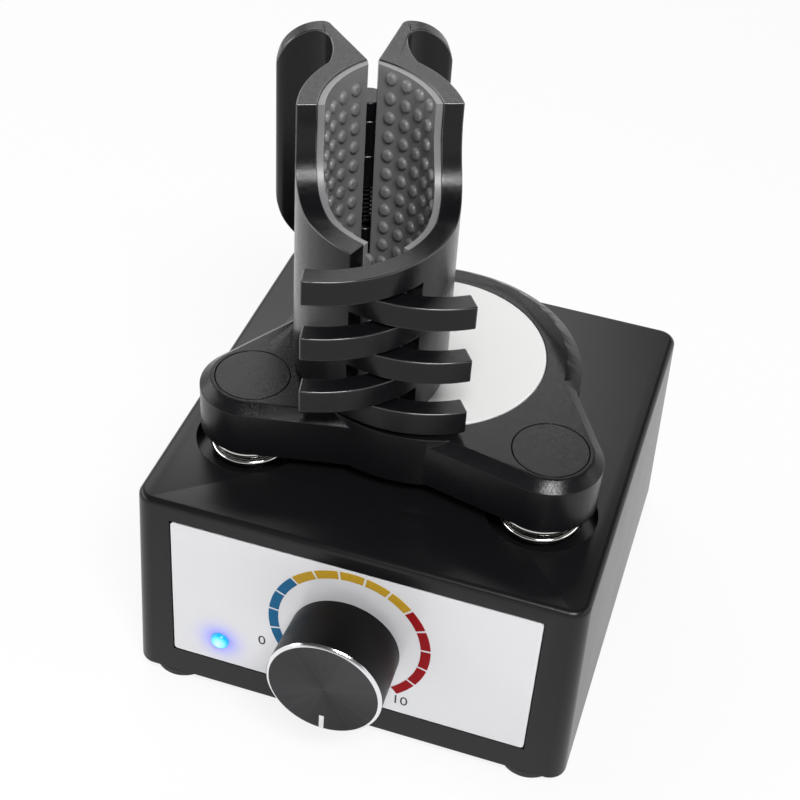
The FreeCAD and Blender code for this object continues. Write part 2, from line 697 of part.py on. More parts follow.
def electronics():
    """The speed board on its posts, and the power inlet in the back wall."""
    low_x = "BoardX - BoardWidth / 2"
    blank = box("board_blank", "BoardWidth", "BoardLength", "BoardThickness", low_x,
                "-BoardLength / 2", "BoardZ")
    posts = []
    holes = []
    places = []
    for number, (x, y) in enumerate(CORNERS, start=1):
        at_x = "BoardX + " + spread("BoardWidth / 2 - StandoffRadius - 1", x)
        at_y = spread("BoardLength / 2 - StandoffRadius - 1", y)
        posts.append(cylinder("standoff_%d" % number, "StandoffRadius",
                              "BoardZ - FootHeight - PlateThickness", at_x, at_y, PLATE_TOP))
        holes.append(cylinder("board_hole_%d" % number, "ScrewThreadRadius + RunningGap",
                              "3 * BoardThickness", at_x, at_y, "BoardZ - BoardThickness"))
        places.append((at_x, at_y))
    bores = [cylinder("standoff_bore_%d" % number, "ScrewThreadRadius", "BoardZ", x, y,
                      PLATE_TOP + " + BoardThickness")
             for number, (x, y) in enumerate(places, start=1)]
    piece(cut("board", blank, fuse("board_holes", holes)), "control_board")
    hollow = [cut("post_%d" % number, post, bore)
              for number, (post, bore) in enumerate(zip(posts, bores), start=1)]
    piece(group("standoffs", hollow), "board_standoffs")
    piece(screws("board_fixings", places, "BoardZ + BoardThickness", down=False), "board_screws")
    board_top = "BoardZ + BoardThickness"
    piece(cylinder("capacitor", "CapacitorRadius", "CapacitorHeight", "BoardX + BoardWidth / 5",
                   "-BoardLength / 5", board_top), "board_capacitor")
    tab = box("transistor_tab", "TransistorWidth", "TabThickness", "TransistorHeight",
              "BoardX - BoardWidth / 4", "BoardLength / 6", board_top)
    package = box("transistor_package", "TransistorWidth", "TransistorDepth", "TransistorHeight * 3 / 5",
                  "BoardX - BoardWidth / 4", "BoardLength / 6", board_top)
    eye = cylinder("transistor_eye", "ScrewRadius", "3 * TransistorDepth",
                   "BoardX - BoardWidth / 4 + TransistorWidth / 2",
                   "BoardLength / 6 + 2 * TransistorDepth", board_top + " + TransistorHeight * 5 / 6", OUT)
    piece(cut("transistor", fuse("transistor_solid", [tab, package]), eye), "board_transistor")
    face = "HousingDepth / 2 + DraftDeep"
    flange = cylinder("inlet_flange", "InletFlangeRadius", "InletFlange", "InletX",
                      face + " + InletFlange", "InletHeight", OUT)
    barrel = cylinder("inlet_barrel", "InletRadius", "InletLength", "InletX",
                      face + " + InletFlange", "InletHeight", OUT)
    bore = cylinder("inlet_bore", "InletBoreRadius", "InletBoreDepth", "InletX",
                    face + " + InletFlange", "InletHeight", OUT)
    pin = cylinder("inlet_pin", "InletPinRadius", "InletBoreDepth", "InletX", face,
                   "InletHeight", OUT)
    inlet = fuse("inlet", [cut("inlet_body", fuse("inlet_solid", [flange, barrel]), bore), pin])
    piece(inlet, "dc_inlet")
    nut = hexagon("inlet_nut_blank", "InletNutWidth", "NutThickness", "InletX",
                  "HousingDepth / 2 + DraftDeep / 2 - Wall - FitGap", "InletHeight")
    hole = cylinder("inlet_nut_hole", "InletRadius", "4 * NutThickness", "InletX",
                    "HousingDepth / 2 + DraftDeep", "InletHeight", OUT)
    piece(cut("inlet_nut_ring", nut, hole), "inlet_nut")


def motor():
    """The motor: its can, magnets and end cap on the base, its armature and shaft inside."""
    height = "MotorTop - MotorBottom"
    can = cylinder("can_outside", "MotorRadius", height, z="MotorBottom")
    hollow = cylinder("can_hollow", "MotorRadius - CanWall", height + " - CanWall", z="MotorBottom")
    exit_hole = cylinder("can_exit", "MotorShaftRadius + RunningGap", "3 * CanWall",
                         z="MotorTop - 2 * CanWall")
    threads = [cylinder("can_thread_%d" % (side + 1), "ScrewThreadRadius", "3 * CanWall",
                        spread("MotorScrewSpacing / 2", side), 0, "MotorTop - 2 * CanWall")
               for side in SIDES]
    piece(cut("can", can, fuse("can_tools", [hollow, exit_hole] + threads)), "motor_can")
    magnets = [arc_wall("magnet_%d" % (number + 1), "MotorRadius - CanWall",
                        "MotorRadius - CanWall - MagnetThickness",
                        "ArmatureHeight + 2 * MagnetOverhang",
                        "90 + %d - MagnetSweep / 2" % (180 * number), "MagnetSweep",
                        z="(MotorTop + MotorBottom - ArmatureHeight) / 2 - MagnetOverhang")
               for number in range(2)]
    piece(group("magnets", magnets), "motor_magnets")
    cap = cylinder("end_cap_disc", "MotorRadius - CanWall", "2 * CanWall", z="MotorBottom")
    boss = cylinder("end_cap_boss", "2 * MotorShaftRadius", "3 * CanWall", z="MotorBottom - CanWall")
    cap_bore = cylinder("end_cap_bore", "MotorShaftRadius + RunningGap", "8 * CanWall",
                        z="MotorBottom - 2 * CanWall")
    piece(cut("end_cap", fuse("end_cap_solid", [cap, boss]), cap_bore), "motor_end_cap")
    piece(cylinder("armature_shaft", "MotorShaftRadius", "HubBottom + HubCollarHeight - MotorBottom",
                   z="MotorBottom"), "motor_shaft")
    core_z = "(MotorTop + MotorBottom - ArmatureHeight) / 2"
    core = ring("armature_core", "ArmatureRadius", "MotorShaftRadius", "ArmatureHeight", z=core_z)
    slots = []
    for number in range(int(size("ArmatureSlots"))):
        angle = 360 * number / size("ArmatureSlots")
        slots.append(box("armature_slot_%d" % number, "ArmatureRadius", "CanWall",
                         "2 * ArmatureHeight", "ArmatureRadius / 2 * %.5f" % math.cos(math.radians(angle)),
                         "ArmatureRadius / 2 * %.5f" % math.sin(math.radians(angle)),
                         core_z + " - ArmatureHeight / 2", Rotation(Vector(0, 0, 1), angle)))
    piece(cut("armature", core, fuse("armature_slots", slots)), "motor_armature")
    plate = box("bracket_plate", "BracketWidth", "BracketDepth", "BracketThickness",
                "-BracketWidth / 2", "-BracketDepth / 2", "MotorTop")
    holes = [cylinder("bracket_middle", "3 * MotorShaftRadius", "3 * BracketThickness",
                      z="MotorTop - BracketThickness")]
    for side in SIDES:
        holes.append(cylinder("bracket_motor_hole_%d" % (side + 1), "ScrewThreadRadius + FitGap",
                              "3 * BracketThickness", spread("MotorScrewSpacing / 2", side), 0,
                              "MotorTop - BracketThickness"))
    posts = [(spread("BracketBossX", x), spread("BracketBossY", y)) for x, y in CORNERS]
    holes += [cylinder("bracket_hole_%d" % number, "ScrewThreadRadius + FitGap",
                       "3 * BracketThickness", x, y, "MotorTop - BracketThickness")
              for number, (x, y) in enumerate(posts, start=1)]
    piece(cut("bracket", plate, fuse("bracket_holes", holes)), "motor_bracket")
    piece(screws("bracket_fixings", posts, "MotorTop"), "bracket_screws")
    spots = [(spread("MotorScrewSpacing / 2", side), "0") for side in SIDES]
    piece(screws("motor_fixings", spots, "MotorTop + BracketThickness", down=False), "motor_screws")


def eccentric_hub():
    """The hub on the motor shaft: a crank pin a little off its axis, and a weight against it."""
    collar = cylinder("hub_collar", "HubCollarRadius", "HubCollarHeight", z="HubBottom")
    neck = cylinder("hub_neck", "HubNeckRadius", "PlatformBottom - HubBottom", z="HubBottom")
    shoulder = cylinder("hub_shoulder", "ShoulderRadius", "BearingBottom - PlatformBottom + Overrun",
                        y="Throw", z="PlatformBottom - Overrun")
    pin = cylinder("crank_pin", "CrankPinRadius", "CrankPinTop - BearingBottom", y="Throw",
                   z="BearingBottom")
    weight = cylinder("counterweight", "CounterweightRadius", "CounterweightHeight",
                      z="HubBottom", turn=Rotation(Vector(0, 0, 1), 180), sweep=180)
    solid = fuse("hub_solid", [collar, neck, shoulder, pin, weight])
    bore = cylinder("hub_bore", "MotorShaftRadius", "HubCollarHeight + Overrun",
                    z="HubBottom - Overrun")
    way = cylinder("hub_screw_way", "ScrewThreadRadius", "HubCollarRadius + Overrun",
                   z="HubBottom + HubCollarHeight / 2", turn=Rotation(Vector(1, 0, 0), -90))
    piece(cut("hub", solid, fuse("hub_tools", [bore, way])), "eccentric_hub")
    grub = cylinder("hub_grub", "ScrewThreadRadius - RunningGap",
                    "HubCollarRadius - MotorShaftRadius - FitGap", y="MotorShaftRadius + RunningGap",
                    z="HubBottom + HubCollarHeight / 2", turn=Rotation(Vector(1, 0, 0), -90))
    piece(grub, "hub_set_screw")


def crank_bearing():
    """A ball bearing between the crank pin and the platform: rings, balls and cage."""
    pitch = "(BearingBore + BearingOuter) / 2"
    middle = "BearingBottom + BearingWidth / 2"

    def race(name):
        groove = doc.addObject("Part::Torus", name)
        bind(groove, Radius1=pitch, Radius2="BallRadius + GrooveGap")
        return place(groove, y="Throw", z=middle)

    inner = ring("inner_ring_blank", "InnerRingRadius", "BearingBore", "BearingWidth", y="Throw",
                 z="BearingBottom")
    piece(cut("inner_ring", inner, race("inner_groove")), "bearing_inner_ring")
    outer = ring("outer_ring_blank", "BearingOuter", "OuterRingRadius", "BearingWidth", y="Throw",
                 z="BearingBottom")
    piece(cut("outer_ring", outer, race("outer_groove")), "bearing_outer_ring")
    balls = []
    pockets = []
    for number in range(int(size("BallCount"))):
        angle = 360 * number / size("BallCount")
        across = "(%s) * %.6f" % (pitch, math.cos(math.radians(angle)))
        along = "Throw + (%s) * %.6f" % (pitch, math.sin(math.radians(angle)))
        sphere = doc.addObject("Part::Sphere", "ball_%d" % number)
        bind(sphere, Radius="BallRadius")
        balls.append(place(sphere, across, along, middle))
        outward = Rotation(Vector(0, 0, 1), angle).multiply(Rotation(Vector(0, 1, 0), 90))
        pockets.append(cylinder("ball_pocket_%d" % number, "BallRadius + GrooveGap", "BearingOuter",
                                y="Throw", z=middle, turn=outward))
    piece(group("balls", balls), "bearing_balls")
    cage = ring("cage_blank", "%s + CageThickness / 2" % pitch, "%s - CageThickness / 2" % pitch,
                "BearingWidth - 2 * CageInset", y="Throw", z="BearingBottom + CageInset")
    piece(cut("cage", cage, fuse("ball_pockets", pockets)), "bearing_retainer")


def arm_outline(side, radius):
    """Corners of one arm: its two sides touch the lobe's circle and run in under the disc."""
    centre = Vector(size("LobeX"), -size("LobeY"), 0)
    front = math.radians(-size("ArmFrontAngle"))
    back = math.radians(-size("ArmBackAngle"))
    front_touch = centre + Vector(math.sin(front), -math.cos(front), 0) * radius
    back_touch = centre + Vector(-math.sin(back), math.cos(back), 0) * radius
    front_root = front_touch - Vector(math.cos(front), math.sin(front), 0) * size("ArmFrontLength")
    back_root = back_touch - Vector(math.cos(back), math.sin(back), 0) * size("ArmBackLength")
    points = [front_touch, centre, back_touch, back_root, front_root]
    return [(side * point.x, point.y) for point in points[::side]]


def platform():
    """The plate that carries the bottle: a round middle, two arms with lobes, bevelled above."""
    bevel_z = "PlatformTop - DiscBevelHeight"
    wall = cylinder("disc_wall", "DiscWallRadius", bevel_z + " - PlatformBottom", y="Throw",
                    z="PlatformBottom")
    crown = cone("disc_bevel", "DiscWallRadius", "DiscRadius", "DiscBevelHeight", y="Throw", z=bevel_z)
    core = cylinder("disc_core", "DiscRadius", "PlatformTop - PlatformBottom", y="Throw",
                    z="PlatformBottom")
    bay = box("front_bay", "2 * (LobeX - BayInset)", "DiscWallRadius", "PlatformTop",
              "-LobeX + BayInset", "-DiscWallRadius - LobeY / 2")
    rim = cut("disc_rim", fuse("disc_with_bevel", [wall, crown]), bay)
    solids = [rim, core]
    lobe_bevel_z = "PlatformTop - LobeBevelHeight"
    for side, label in ((-1, "left"), (1, "right")):
        arm = prism("arm_" + label, arm_outline(side, size("LobeRadius")),
                    lobe_bevel_z + " - PlatformBottom", size("PlatformBottom"))
        lobe = cylinder("lobe_" + label, "LobeRadius", lobe_bevel_z + " - PlatformBottom",
                        spread("LobeX", side), "-LobeY", "PlatformBottom")
        solids += [arm, lobe, arm_bevel(side, label)]
    solid = fuse("platform_solid", solids)
    tools = [
        cylinder("top_disc_recess", "TopDiscRadius + FitGap", "TopDiscThickness", y="Throw",
                 z="PlatformTop + TopDiscProud - TopDiscThickness"),
        cylinder("bearing_seat", "BearingOuter", "BearingBottom + BearingWidth - PlatformBottom",
                 y="Throw", z="PlatformBottom"),
        cylinder("crank_pin_room", "InnerRingRadius", "BearingWidth + PinRoom", y="Throw",
                 z="BearingBottom"),
        cylinder("rear_pocket", "PocketRadius", "PocketTop - PlatformBottom", y="RearSpringY + Throw",
                 z="PlatformBottom"),
    ]
    for side, label in ((-1, "left"), (1, "right")):
        across = spread("LobeX", side)
        tools.append(cylinder("pocket_" + label, "PocketRadius", "PocketTop - PlatformBottom",
                              across, "-LobeY", "PlatformBottom"))
        tools.append(cylinder("cap_recess_" + label, "LobeCapRadius + FitGap", "LobeCapThickness",
                              across, "-LobeY", "PlatformTop - LobeCapThickness"))
        cap = cylinder("cap_" + label, "LobeCapRadius", "LobeCapThickness", across, "-LobeY",
                       "PlatformTop - LobeCapThickness")
        piece(cap, "lobe_cap_" + label)
    hinge = CLAMP.multVec(Vector(0, size("HingeY"), 0))
    plinth = cylinder("hinge_plinth", "PlinthRadius", "JawBottom - HingeWasher - PlatformTop + PlinthRoot",
                      hinge.x, hinge.y, "PlatformTop - PlinthRoot")
    body = fuse("platform_body", [cut("platform_recessed", solid, fuse("platform_tools", tools)), plinth])
    pin_hole = cylinder("pin_hole", "HingePinRadius", "JawTop", hinge.x, hinge.y, "PinFoot")
    piece(cut("platform_plate", body, pin_hole), "platform")
    disc = cylinder("top_disc_blank", "TopDiscRadius", "TopDiscThickness", y="Throw",
                    z="PlatformTop + TopDiscProud - TopDiscThickness")
    notch = cylinder("top_disc_notch", "PlinthRadius + FitGap", "JawTop", hinge.x, hinge.y)
    piece(cut("top_disc_plate", disc, notch), "top_disc")


def arm_bevel(side, label):
    """The bevelled top of one arm and its lobe, lofted from the wall's outline to the top edge."""
    low_z = size("PlatformTop - LobeBevelHeight")
    levels = [(low_z, size("LobeRadius")), (size("PlatformTop"), size("LobeRadius - LobeBevel"))]
    wires = []
    for z, radius in levels:
        points = arm_outline(side, radius)
        front_touch, centre, back_touch, back_root, front_root = points[::side]
        middle = math.radians((90 - size("ArmBackAngle") - 90 - size("ArmFrontAngle")) / 2)
        tip = (side * (size("LobeX") + radius * math.cos(middle)),
               -size("LobeY") + radius * math.sin(middle))
        edges = [arc(front_touch, tip, back_touch), line(back_touch, back_root),
                 line(back_root, front_root), line(front_root, front_touch)]
        wire = Part.Wire(edges)
        wire.translate(Vector(0, 0, z))
        wires.append(wire)
    bevel = doc.addObject("Part::Feature", "arm_bevel_" + label)
    bevel.Shape = Part.makeLoft(wires, True, True)
    return bevel


def tangent_arc(start, along, end):
    """An arc that leaves its start along a heading and reaches its end."""
    chord = end - start
    unit = Vector(chord).normalize()
    side = (along - unit * along.dot(unit)).normalize()
    middle = (start + end) * 0.5 + side * (chord.Length / 2 * math.tan(along.getAngle(chord) / 2))
    return Part.Arc(start, middle, end).toShape()


def helix_point(radius, pitch, angle):
    """A point of a helix that rises from the XY plane."""
    return Vector(radius * math.cos(angle), radius * math.sin(angle), pitch * angle / (2 * math.pi))


def helix_heading(radius, pitch, angle):
    """The helix's direction at an angle."""
    return Vector(-radius * math.sin(angle), radius * math.cos(angle), pitch / (2 * math.pi)).normalize()


def self_gap(radius, pitch, turns, wire):
    """The least gap between a coil's turns, measured on points along its middle line."""
    steps = 36
    points = [helix_point(radius, pitch, 2 * math.pi * k / steps) for k in range(int(turns * steps))]
    return min(points[j].distanceToPoint(points[k]) for k in range(len(points))
               for j in range(k + steps // 2, len(points))) - 2 * wire


def coil(name, radius, wire, pitch, turns):
    """A coil spring: a round wire swept along pairs of tangent arcs, four pairs to the turn."""
    radius, wire, pitch = size(radius), size(wire), size(pitch)
    steps = round(4 * turns)
    edges = []
    for step in range(steps):
        a, b = (math.pi / 2 * k for k in (step, step + 1))
        start, end = helix_point(radius, pitch, a), helix_point(radius, pitch, b)
        leave, arrive = helix_heading(radius, pitch, a), helix_heading(radius, pitch, b)
        total, span = leave + arrive, end - start
        spare = 2 * (1 - leave.dot(arrive))
        reach = (math.sqrt(span.dot(total) ** 2 + spare * span.dot(span)) - span.dot(total)) / spare
        first, second = start + leave * reach, end - arrive * reach
        joint = (first + second) * 0.5
        edges += [tangent_arc(start, leave, joint), tangent_arc(joint, second - first, end)]
    profile = Part.Wire(Part.Circle(helix_point(radius, pitch, 0), helix_heading(radius, pitch, 0),
                                    wire).toShape())
    spring = doc.addObject("Part::Feature", name)
    spring.Shape = Part.Wire(edges).makePipeShell([profile], True, False)
    print("%s: %.2f turns, least gap %.2f mm" % (name, steps / 4, self_gap(radius, pitch, steps / 4, wire)))
    return spring


def springs():
    """Three springs stand in the housing's wells and reach up into the platform's pockets."""
    floor_z = size(HOUSING_TOP + " - WellDepth")
    room = size("PocketTop - SpringGap - 2 * SpringWire") - floor_z
    turns = room / size("SpringPitch")
    places = [("left", -size("LobeX"), -size("LobeY + Throw")),
              ("right", size("LobeX"), -size("LobeY + Throw")),
              ("rear", 0, size("RearSpringY"))]
    for label, x, y in places:
        spring = coil("coil_" + label, "SpringRadius", "SpringWire", "SpringPitch", turns)
        lift = floor_z + size("SpringWire") * 1.02
        piece(spring, "spring_" + label, Placement(Vector(x, y, lift), UP))


def knuckle_levels():
    """The hinge's stack from the bottom: what stands round the pin, and from where to where."""
    stack = [("left", "LowKnuckle"), ("right", "SecondKnuckle"), ("spring", "SpringRoom"),
             ("left", "ThirdKnuckle"), ("right", "HighKnuckle")]
    foot = size("JawBottom")
    levels = []
    for owner, height in stack:
        levels.append((owner, foot, foot + size(height)))
        foot += size(height + " + KnuckleGap")
    return levels + [("cap", foot, size("CapTop + KnuckleGap"))]


def wing_outline():
    """The left wing seen from above: a neck from the jaw's back end, then a flared paddle."""
    radius = size("JawRadius")
    offset, forward = size("JawOffset"), size("JawForward")

    def on_jaw(reach, angle):
        angle = math.radians(angle)
        return (offset + reach * math.cos(angle), forward + reach * math.sin(angle))

    inner_end = on_jaw(size("JawRadius - JawWall"), size("JawBackAngle"))
    outer_start = on_jaw(radius, size("WingRootAngle"))
    mid_wall = on_jaw(radius - size("JawWall") / 2, size("WingRootAngle"))
    heel, heel_bend, back = (-9.3, 44.8), (-10.3, 45.7), (-11.6, 46.0)
    tip_back, tip, tip_front = (-21.2, 47.2), (-size("WingReach"), 45.2), (-21.4, 42.9)
    throat, throat_bend, neck, neck_bend = (-14.5, 42.0), (-11.3, 40.0), (-9.9, 36.4), (-9.8, 30.4)
    return [
        line(inner_end, heel),
        arc(heel, heel_bend, back),
        line(back, tip_back),
        arc(tip_back, tip, tip_front),
        line(tip_front, throat),
        arc(throat, throat_bend, neck),
        arc(neck, neck_bend, outer_start),
        line(outer_start, mid_wall),
        line(mid_wall, inner_end),
    ]


def front_cutter(name, label, drop):
    """What is cut off the front of a jaw: all above its rim, which rises to the back in an arc."""
    top, rim = size("JawTop + Overrun"), size("JawRim") - drop
    if label == "left":
        rim += size("LeftRimStep")
    reach = size("ClampSpan") / 2
    edge, radius = size("JawCut") + drop, size("JawCutRadius")
    slope = radius * (1 - math.sqrt(0.5))
    edges = [
        line((edge, top), (edge, rim + radius)),
        arc((edge, rim + radius), (edge - slope, rim + slope), (edge - radius, rim)),
        line((edge - radius, rim), (-reach, rim)),
        line((-reach, rim), (-reach, top)),
        line((-reach, top), (edge, top)),
    ]
    across = Rotation(Vector(1, 1, 1), 120)
    return place(extruded(name, edges, "ClampSpan"), "-ClampSpan / 2", turn=across)


def wing(name):
    """The thumb wing behind the jaw, its paddle rounded off above and below."""
    blade = extruded(name + "_blade", wing_outline(), "JawTop - JawBottom", size("JawBottom"))
    reach, top, low = size("WingReach"), size("JawTop"), size("WingBottom")
    top_round, low_round = size("WingTopCorner"), size("WingLowCorner")
    bend, inner = math.sqrt(0.5), size("KnuckleTrim")
    edges = [
        line((inner, low), (low_round - reach, low)),
        arc((low_round - reach, low), (low_round * (1 - bend) - reach, low + low_round * (1 - bend)),
            (-reach, low + low_round)),
        line((-reach, low + low_round), (-reach, top - top_round)),
        arc((-reach, top - top_round), (top_round * (1 - bend) - reach, top - top_round * (1 - bend)),
            (top_round - reach, top)),
        line((top_round - reach, top), (inner, top)),
        line((inner, top), (inner, low)),
    ]
    paddle = place(extruded(name + "_paddle", edges, "WingStart"), 0, "2 * WingStart", 0, OUT)
    neck = box(name + "_neck", "ClampSpan", "WingStart", "JawTop", "-ClampSpan / 2")
    return common(name, blade, fuse(name + "_limits", [paddle, neck]))


def jaw(label):
    """One jaw with its wall, fingers, wing and knuckles, drawn as the left one."""
    name = label + "_jaw"
    height = "JawTop - JawBottom"
    sweep = "JawFrontAngle - JawBackAngle"
    solids = [arc_wall(name + "_wall", "JawRadius", "JawRadius - JawWall", height, "JawBackAngle",
                       sweep, "JawOffset", "JawForward", "JawBottom"),
              wing(name + "_wing")]
    steps = {"right": (0, 2, 4), "left": (1, 3, 5)}[label]
    for step in steps:
        tall = "LastFingerHeight" if step == 5 else "FingerHeight"
        foot = "FingerTop - %d * FingerPitch - %s" % (step, tall)
        if step == 0:
            tall = "JawRim - FingerTop + FingerHeight"
        solids.append(arc_wall("%s_finger_%d" % (name, step), "JawRadius", "JawRadius - JawWall", tall,
                               "JawFrontAngle - FingerOverlap",
                               "FingerAngle - JawFrontAngle + FingerOverlap",
                               "JawOffset", "JawForward", foot))
    trims = [front_cutter(name + "_front", label, 0)]
    knuckles = []
    low = size("JawBottom")
    for owner, foot, top in knuckle_levels():
        if owner != label:
            continue
        if foot > low:
            trims.append(cylinder("%s_trim_%d" % (name, len(trims)), "KnuckleTrim", foot - low,
                                  y="HingeY", z=low))
        knuckles.append(cylinder("%s_knuckle_%d" % (name, len(knuckles)), "KnuckleRadius",
                                 top - foot, y="HingeY", z=foot))
        low = top
    trims.append(cylinder("%s_trim_top" % name, "KnuckleTrim", knuckle_levels()[-1][2] - low,
                          y="HingeY", z=low))
    bore = cylinder(name + "_bore", "HingePinRadius + RunningGap", "JawTop", y="HingeY")
    walls = cut(name + "_trimmed", fuse(name + "_solid", solids), fuse(name + "_trims", trims))
    return cut(name + "_left_hand", fuse(name + "_hinged", [walls] + knuckles), bore)


def pad(label):
    """The soft lining of one jaw, drawn as the left one."""
    name = label + "_pad"
    wall = arc_wall(name + "_wall", "JawRadius - JawWall", "JawRadius - JawWall - PadThickness",
                    "JawTop - JawBottom - PadTopGap - PadBottomGap", "JawBackAngle",
                    "JawFrontAngle - JawBackAngle", "JawOffset", "JawForward",
                    "JawBottom + PadBottomGap")
    beyond = box(name + "_beyond", "JawRadius", "JawRadius", "JawTop", "-JawGap / 2", "JawOffset")
    trims = fuse(name + "_trims", [front_cutter(name + "_front", label, size("PadTopGap")), beyond])
    return cut(name + "_left_hand", wall, trims)


def mirrored(name, thing):
    """The other hand of a piece."""
    twin = doc.addObject("Part::Mirroring", name)
    twin.Source = thing
    twin.Normal = Vector(1, 0, 0)
    return twin


def clamp():
    """The bottle clamp: two lined jaws on one upright pin, with a spring between their knuckles."""
    piece(jaw("left"), "left_jaw", CLAMP)
    piece(pad("left"), "left_pad", CLAMP)
    piece(mirrored("right_jaw_hand", jaw("right")), "right_jaw", CLAMP)
    piece(mirrored("right_pad_hand", pad("right")), "right_pad", CLAMP)
    piece(cylinder("pin", "HingePinRadius", "PinTop - PinFoot", y="HingeY", z="PinFoot"),
          "hinge_pin", CLAMP)
    cap_foot = knuckle_levels()[-1][1]
    cap = cylinder("cap_blank", "KnuckleRadius", size("CapTop") - cap_foot, y="HingeY", z=cap_foot)
    cap_bore = cylinder("cap_bore", "HingePinRadius", size("PinTop") - cap_foot, y="HingeY", z=cap_foot)
    piece(cut("cap", cap, cap_bore), "hinge_cap", CLAMP)
    washer = ring("washer", "KnuckleRadius", "HingePinRadius + RunningGap",
                  "HingeWasher - RunningGap", y="HingeY", z="JawBottom - HingeWasher")
    piece(washer, "hinge_washer", CLAMP)
    foot, top = next(level[1:] for level in knuckle_levels() if level[0] == "spring")
    turns = (top - foot - 3 * size("TorsionWire")) / size("TorsionPitch")
    spring = coil("torsion_coil", "TorsionRadius", "TorsionWire", "TorsionPitch", turns)
    lift = foot + 1.5 * size("TorsionWire")
    piece(spring, "torsion_spring",
          CLAMP.multiply(Placement(Vector(0, size("HingeY"), lift), UP)))


def faults():
    """What the document holds that did not compute, in words."""
    found = ["%s is %s" % (thing.Name, "/".join(thing.State)) for thing in doc.Objects
             if "Invalid" in thing.State or "Error" in thing.State]
    for thing in pieces:
        shape = thing.Shape
        if shape.isNull() or not shape.isValid() or shape.Volume <= 0:
            found.append("%s has no valid solid" % thing.Label)
    return found


housing_shell()
bottom_plate()
rubber_feet()
front_panel()
scale_marks()
power_led()
potentiometer()
speed_knob()
electronics()
motor()
eccentric_hub()
crank_bearing()
platform()
springs()
clamp()
doc.recompute()
wrong = faults()
if wrong:
    raise SystemExit("\n".join(wrong))
os.makedirs("parts", exist_ok=True)
whole = FreeCAD.BoundBox()
for thing in pieces:
    thing.Shape.exportStep("parts/%s.step" % thing.Label)
    whole.add(thing.Shape.BoundBox)
    print("%-22s %2d solids %10.1f mm3" % (thing.Label, len(thing.Shape.Solids), thing.Shape.Volume))
print("%d pieces, box %s" % (len(pieces), whole))
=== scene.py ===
"""Nail polish shaker machine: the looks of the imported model, laid out as an add-on.

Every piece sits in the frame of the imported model, in metres. Shapes that the model already has
right are taken over as merged copies with rounded edges. The rest is made here.
"""
import json
import math

import bmesh
import bpy
from bpy.props import FloatProperty, FloatVectorProperty, IntProperty, PointerProperty
from mathutils import Matrix, Vector


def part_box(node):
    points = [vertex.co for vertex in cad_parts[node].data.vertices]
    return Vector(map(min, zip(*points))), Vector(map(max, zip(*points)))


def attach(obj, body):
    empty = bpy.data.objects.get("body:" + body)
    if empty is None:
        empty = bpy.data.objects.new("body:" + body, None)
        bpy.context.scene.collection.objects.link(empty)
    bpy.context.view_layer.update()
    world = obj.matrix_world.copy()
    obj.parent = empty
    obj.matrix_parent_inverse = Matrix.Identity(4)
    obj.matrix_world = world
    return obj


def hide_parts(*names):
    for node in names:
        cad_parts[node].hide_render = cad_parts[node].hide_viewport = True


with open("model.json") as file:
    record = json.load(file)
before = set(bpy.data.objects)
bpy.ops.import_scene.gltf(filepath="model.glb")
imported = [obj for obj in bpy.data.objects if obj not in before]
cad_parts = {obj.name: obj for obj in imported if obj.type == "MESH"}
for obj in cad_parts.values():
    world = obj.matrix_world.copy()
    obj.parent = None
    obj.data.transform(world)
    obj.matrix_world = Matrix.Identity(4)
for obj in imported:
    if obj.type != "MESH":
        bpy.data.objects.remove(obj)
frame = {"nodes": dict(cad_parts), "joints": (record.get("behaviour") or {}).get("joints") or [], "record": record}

bl_info = {
    "name": "Nail polish shaker machine",
    "version": (1, 0, 0),
    "blender": (4, 5, 0),
    "location": "3D View > Sidebar > Shaker",
    "description": "Builds the pieces, finishes and studio of a nail polish shaker machine",
    "category": "Object",
}

MM = 0.001
NOTHING = (0.0, 0.0, 0.0)

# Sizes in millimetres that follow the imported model
LAMP_SPOT = (-36.15, -16.17)
LENS_RADIUS, LENS_FLANGE, LENS_STEPS = 2.5, 2.9, 48
HALO_REACH = 4.8
CLAMP_SPOT, CLAMP_TURN = (-13.76, 0.1555), 23.7
SPRING_RADIUS, SPRING_WIRE, SPRING_TURNS, STEPS_PER_TURN = 10.1, 0.9, 5.25, 48
PAD_CENTRE, PAD_FORWARD, PAD_RADIUS, BUMP_SINK = 13.9, 1.1, 27.5, 0.02
PAD_FLOOR, PAD_EDGE, PAD_HOLLOW, BUMP_ROOM = 92.0, 4.9, 18.0, 2.3
PAD_RIMS = {"left": 138.0, "right": 136.2}
PAD_COLUMNS, FIRST_COLUMNS, TOP_BUMPS = 10, {"left": 132.0, "right": 48.2}, {"left": 155.0, "right": 157.9}
KNOB_PROFILE = (
    (3.0, 3.0), (6.0, 3.0), (6.0, 10.0), (11.5, 10.0), (11.5, 3.0), (14.7, 3.0), (14.9, 3.2),
    (15.45, 18.9), (15.5, 19.05), (15.48, 19.15), (14.86, 19.82), (14.74, 19.86), (14.6, 19.82),
    (0.0, 19.8), (0.0, 17.2), (3.0, 17.2), (3.0, 3.0))
KNOB_FACE_HEIGHT, KNOB_FACE_REACH, KNOB_RING_HEIGHT = 19.7, 14.5, 19.12
POINTER_SIZE, POINTER_SPOT, POINTER_EDGE = (1.3, 4.6, 0.4), (0, -12.3, 19.69), 0.06
NUMBER_SPOTS = (("0", -24.1, -11.6), ("10", 15.2, -19.6))

# The studio, in metres and watts: name, place, width, depth and power of each lamp
LAMP_TARGET = (0, 0, 0.08)
LAMPS = (
    ("Back softbox", (-0.45, 0.95, 0.9), 0.96, 0.5, 4.6),
    ("Key softbox", (0.28, -0.54, 0.9), 0.42, 0.18, 8.3),
    ("Left strip", (-0.9, -0.1, 0.45), 0.9, 0.25, 3.2),
    ("Right strip", (0.9, 0.1, 0.5), 0.9, 0.25, 1.5),
)

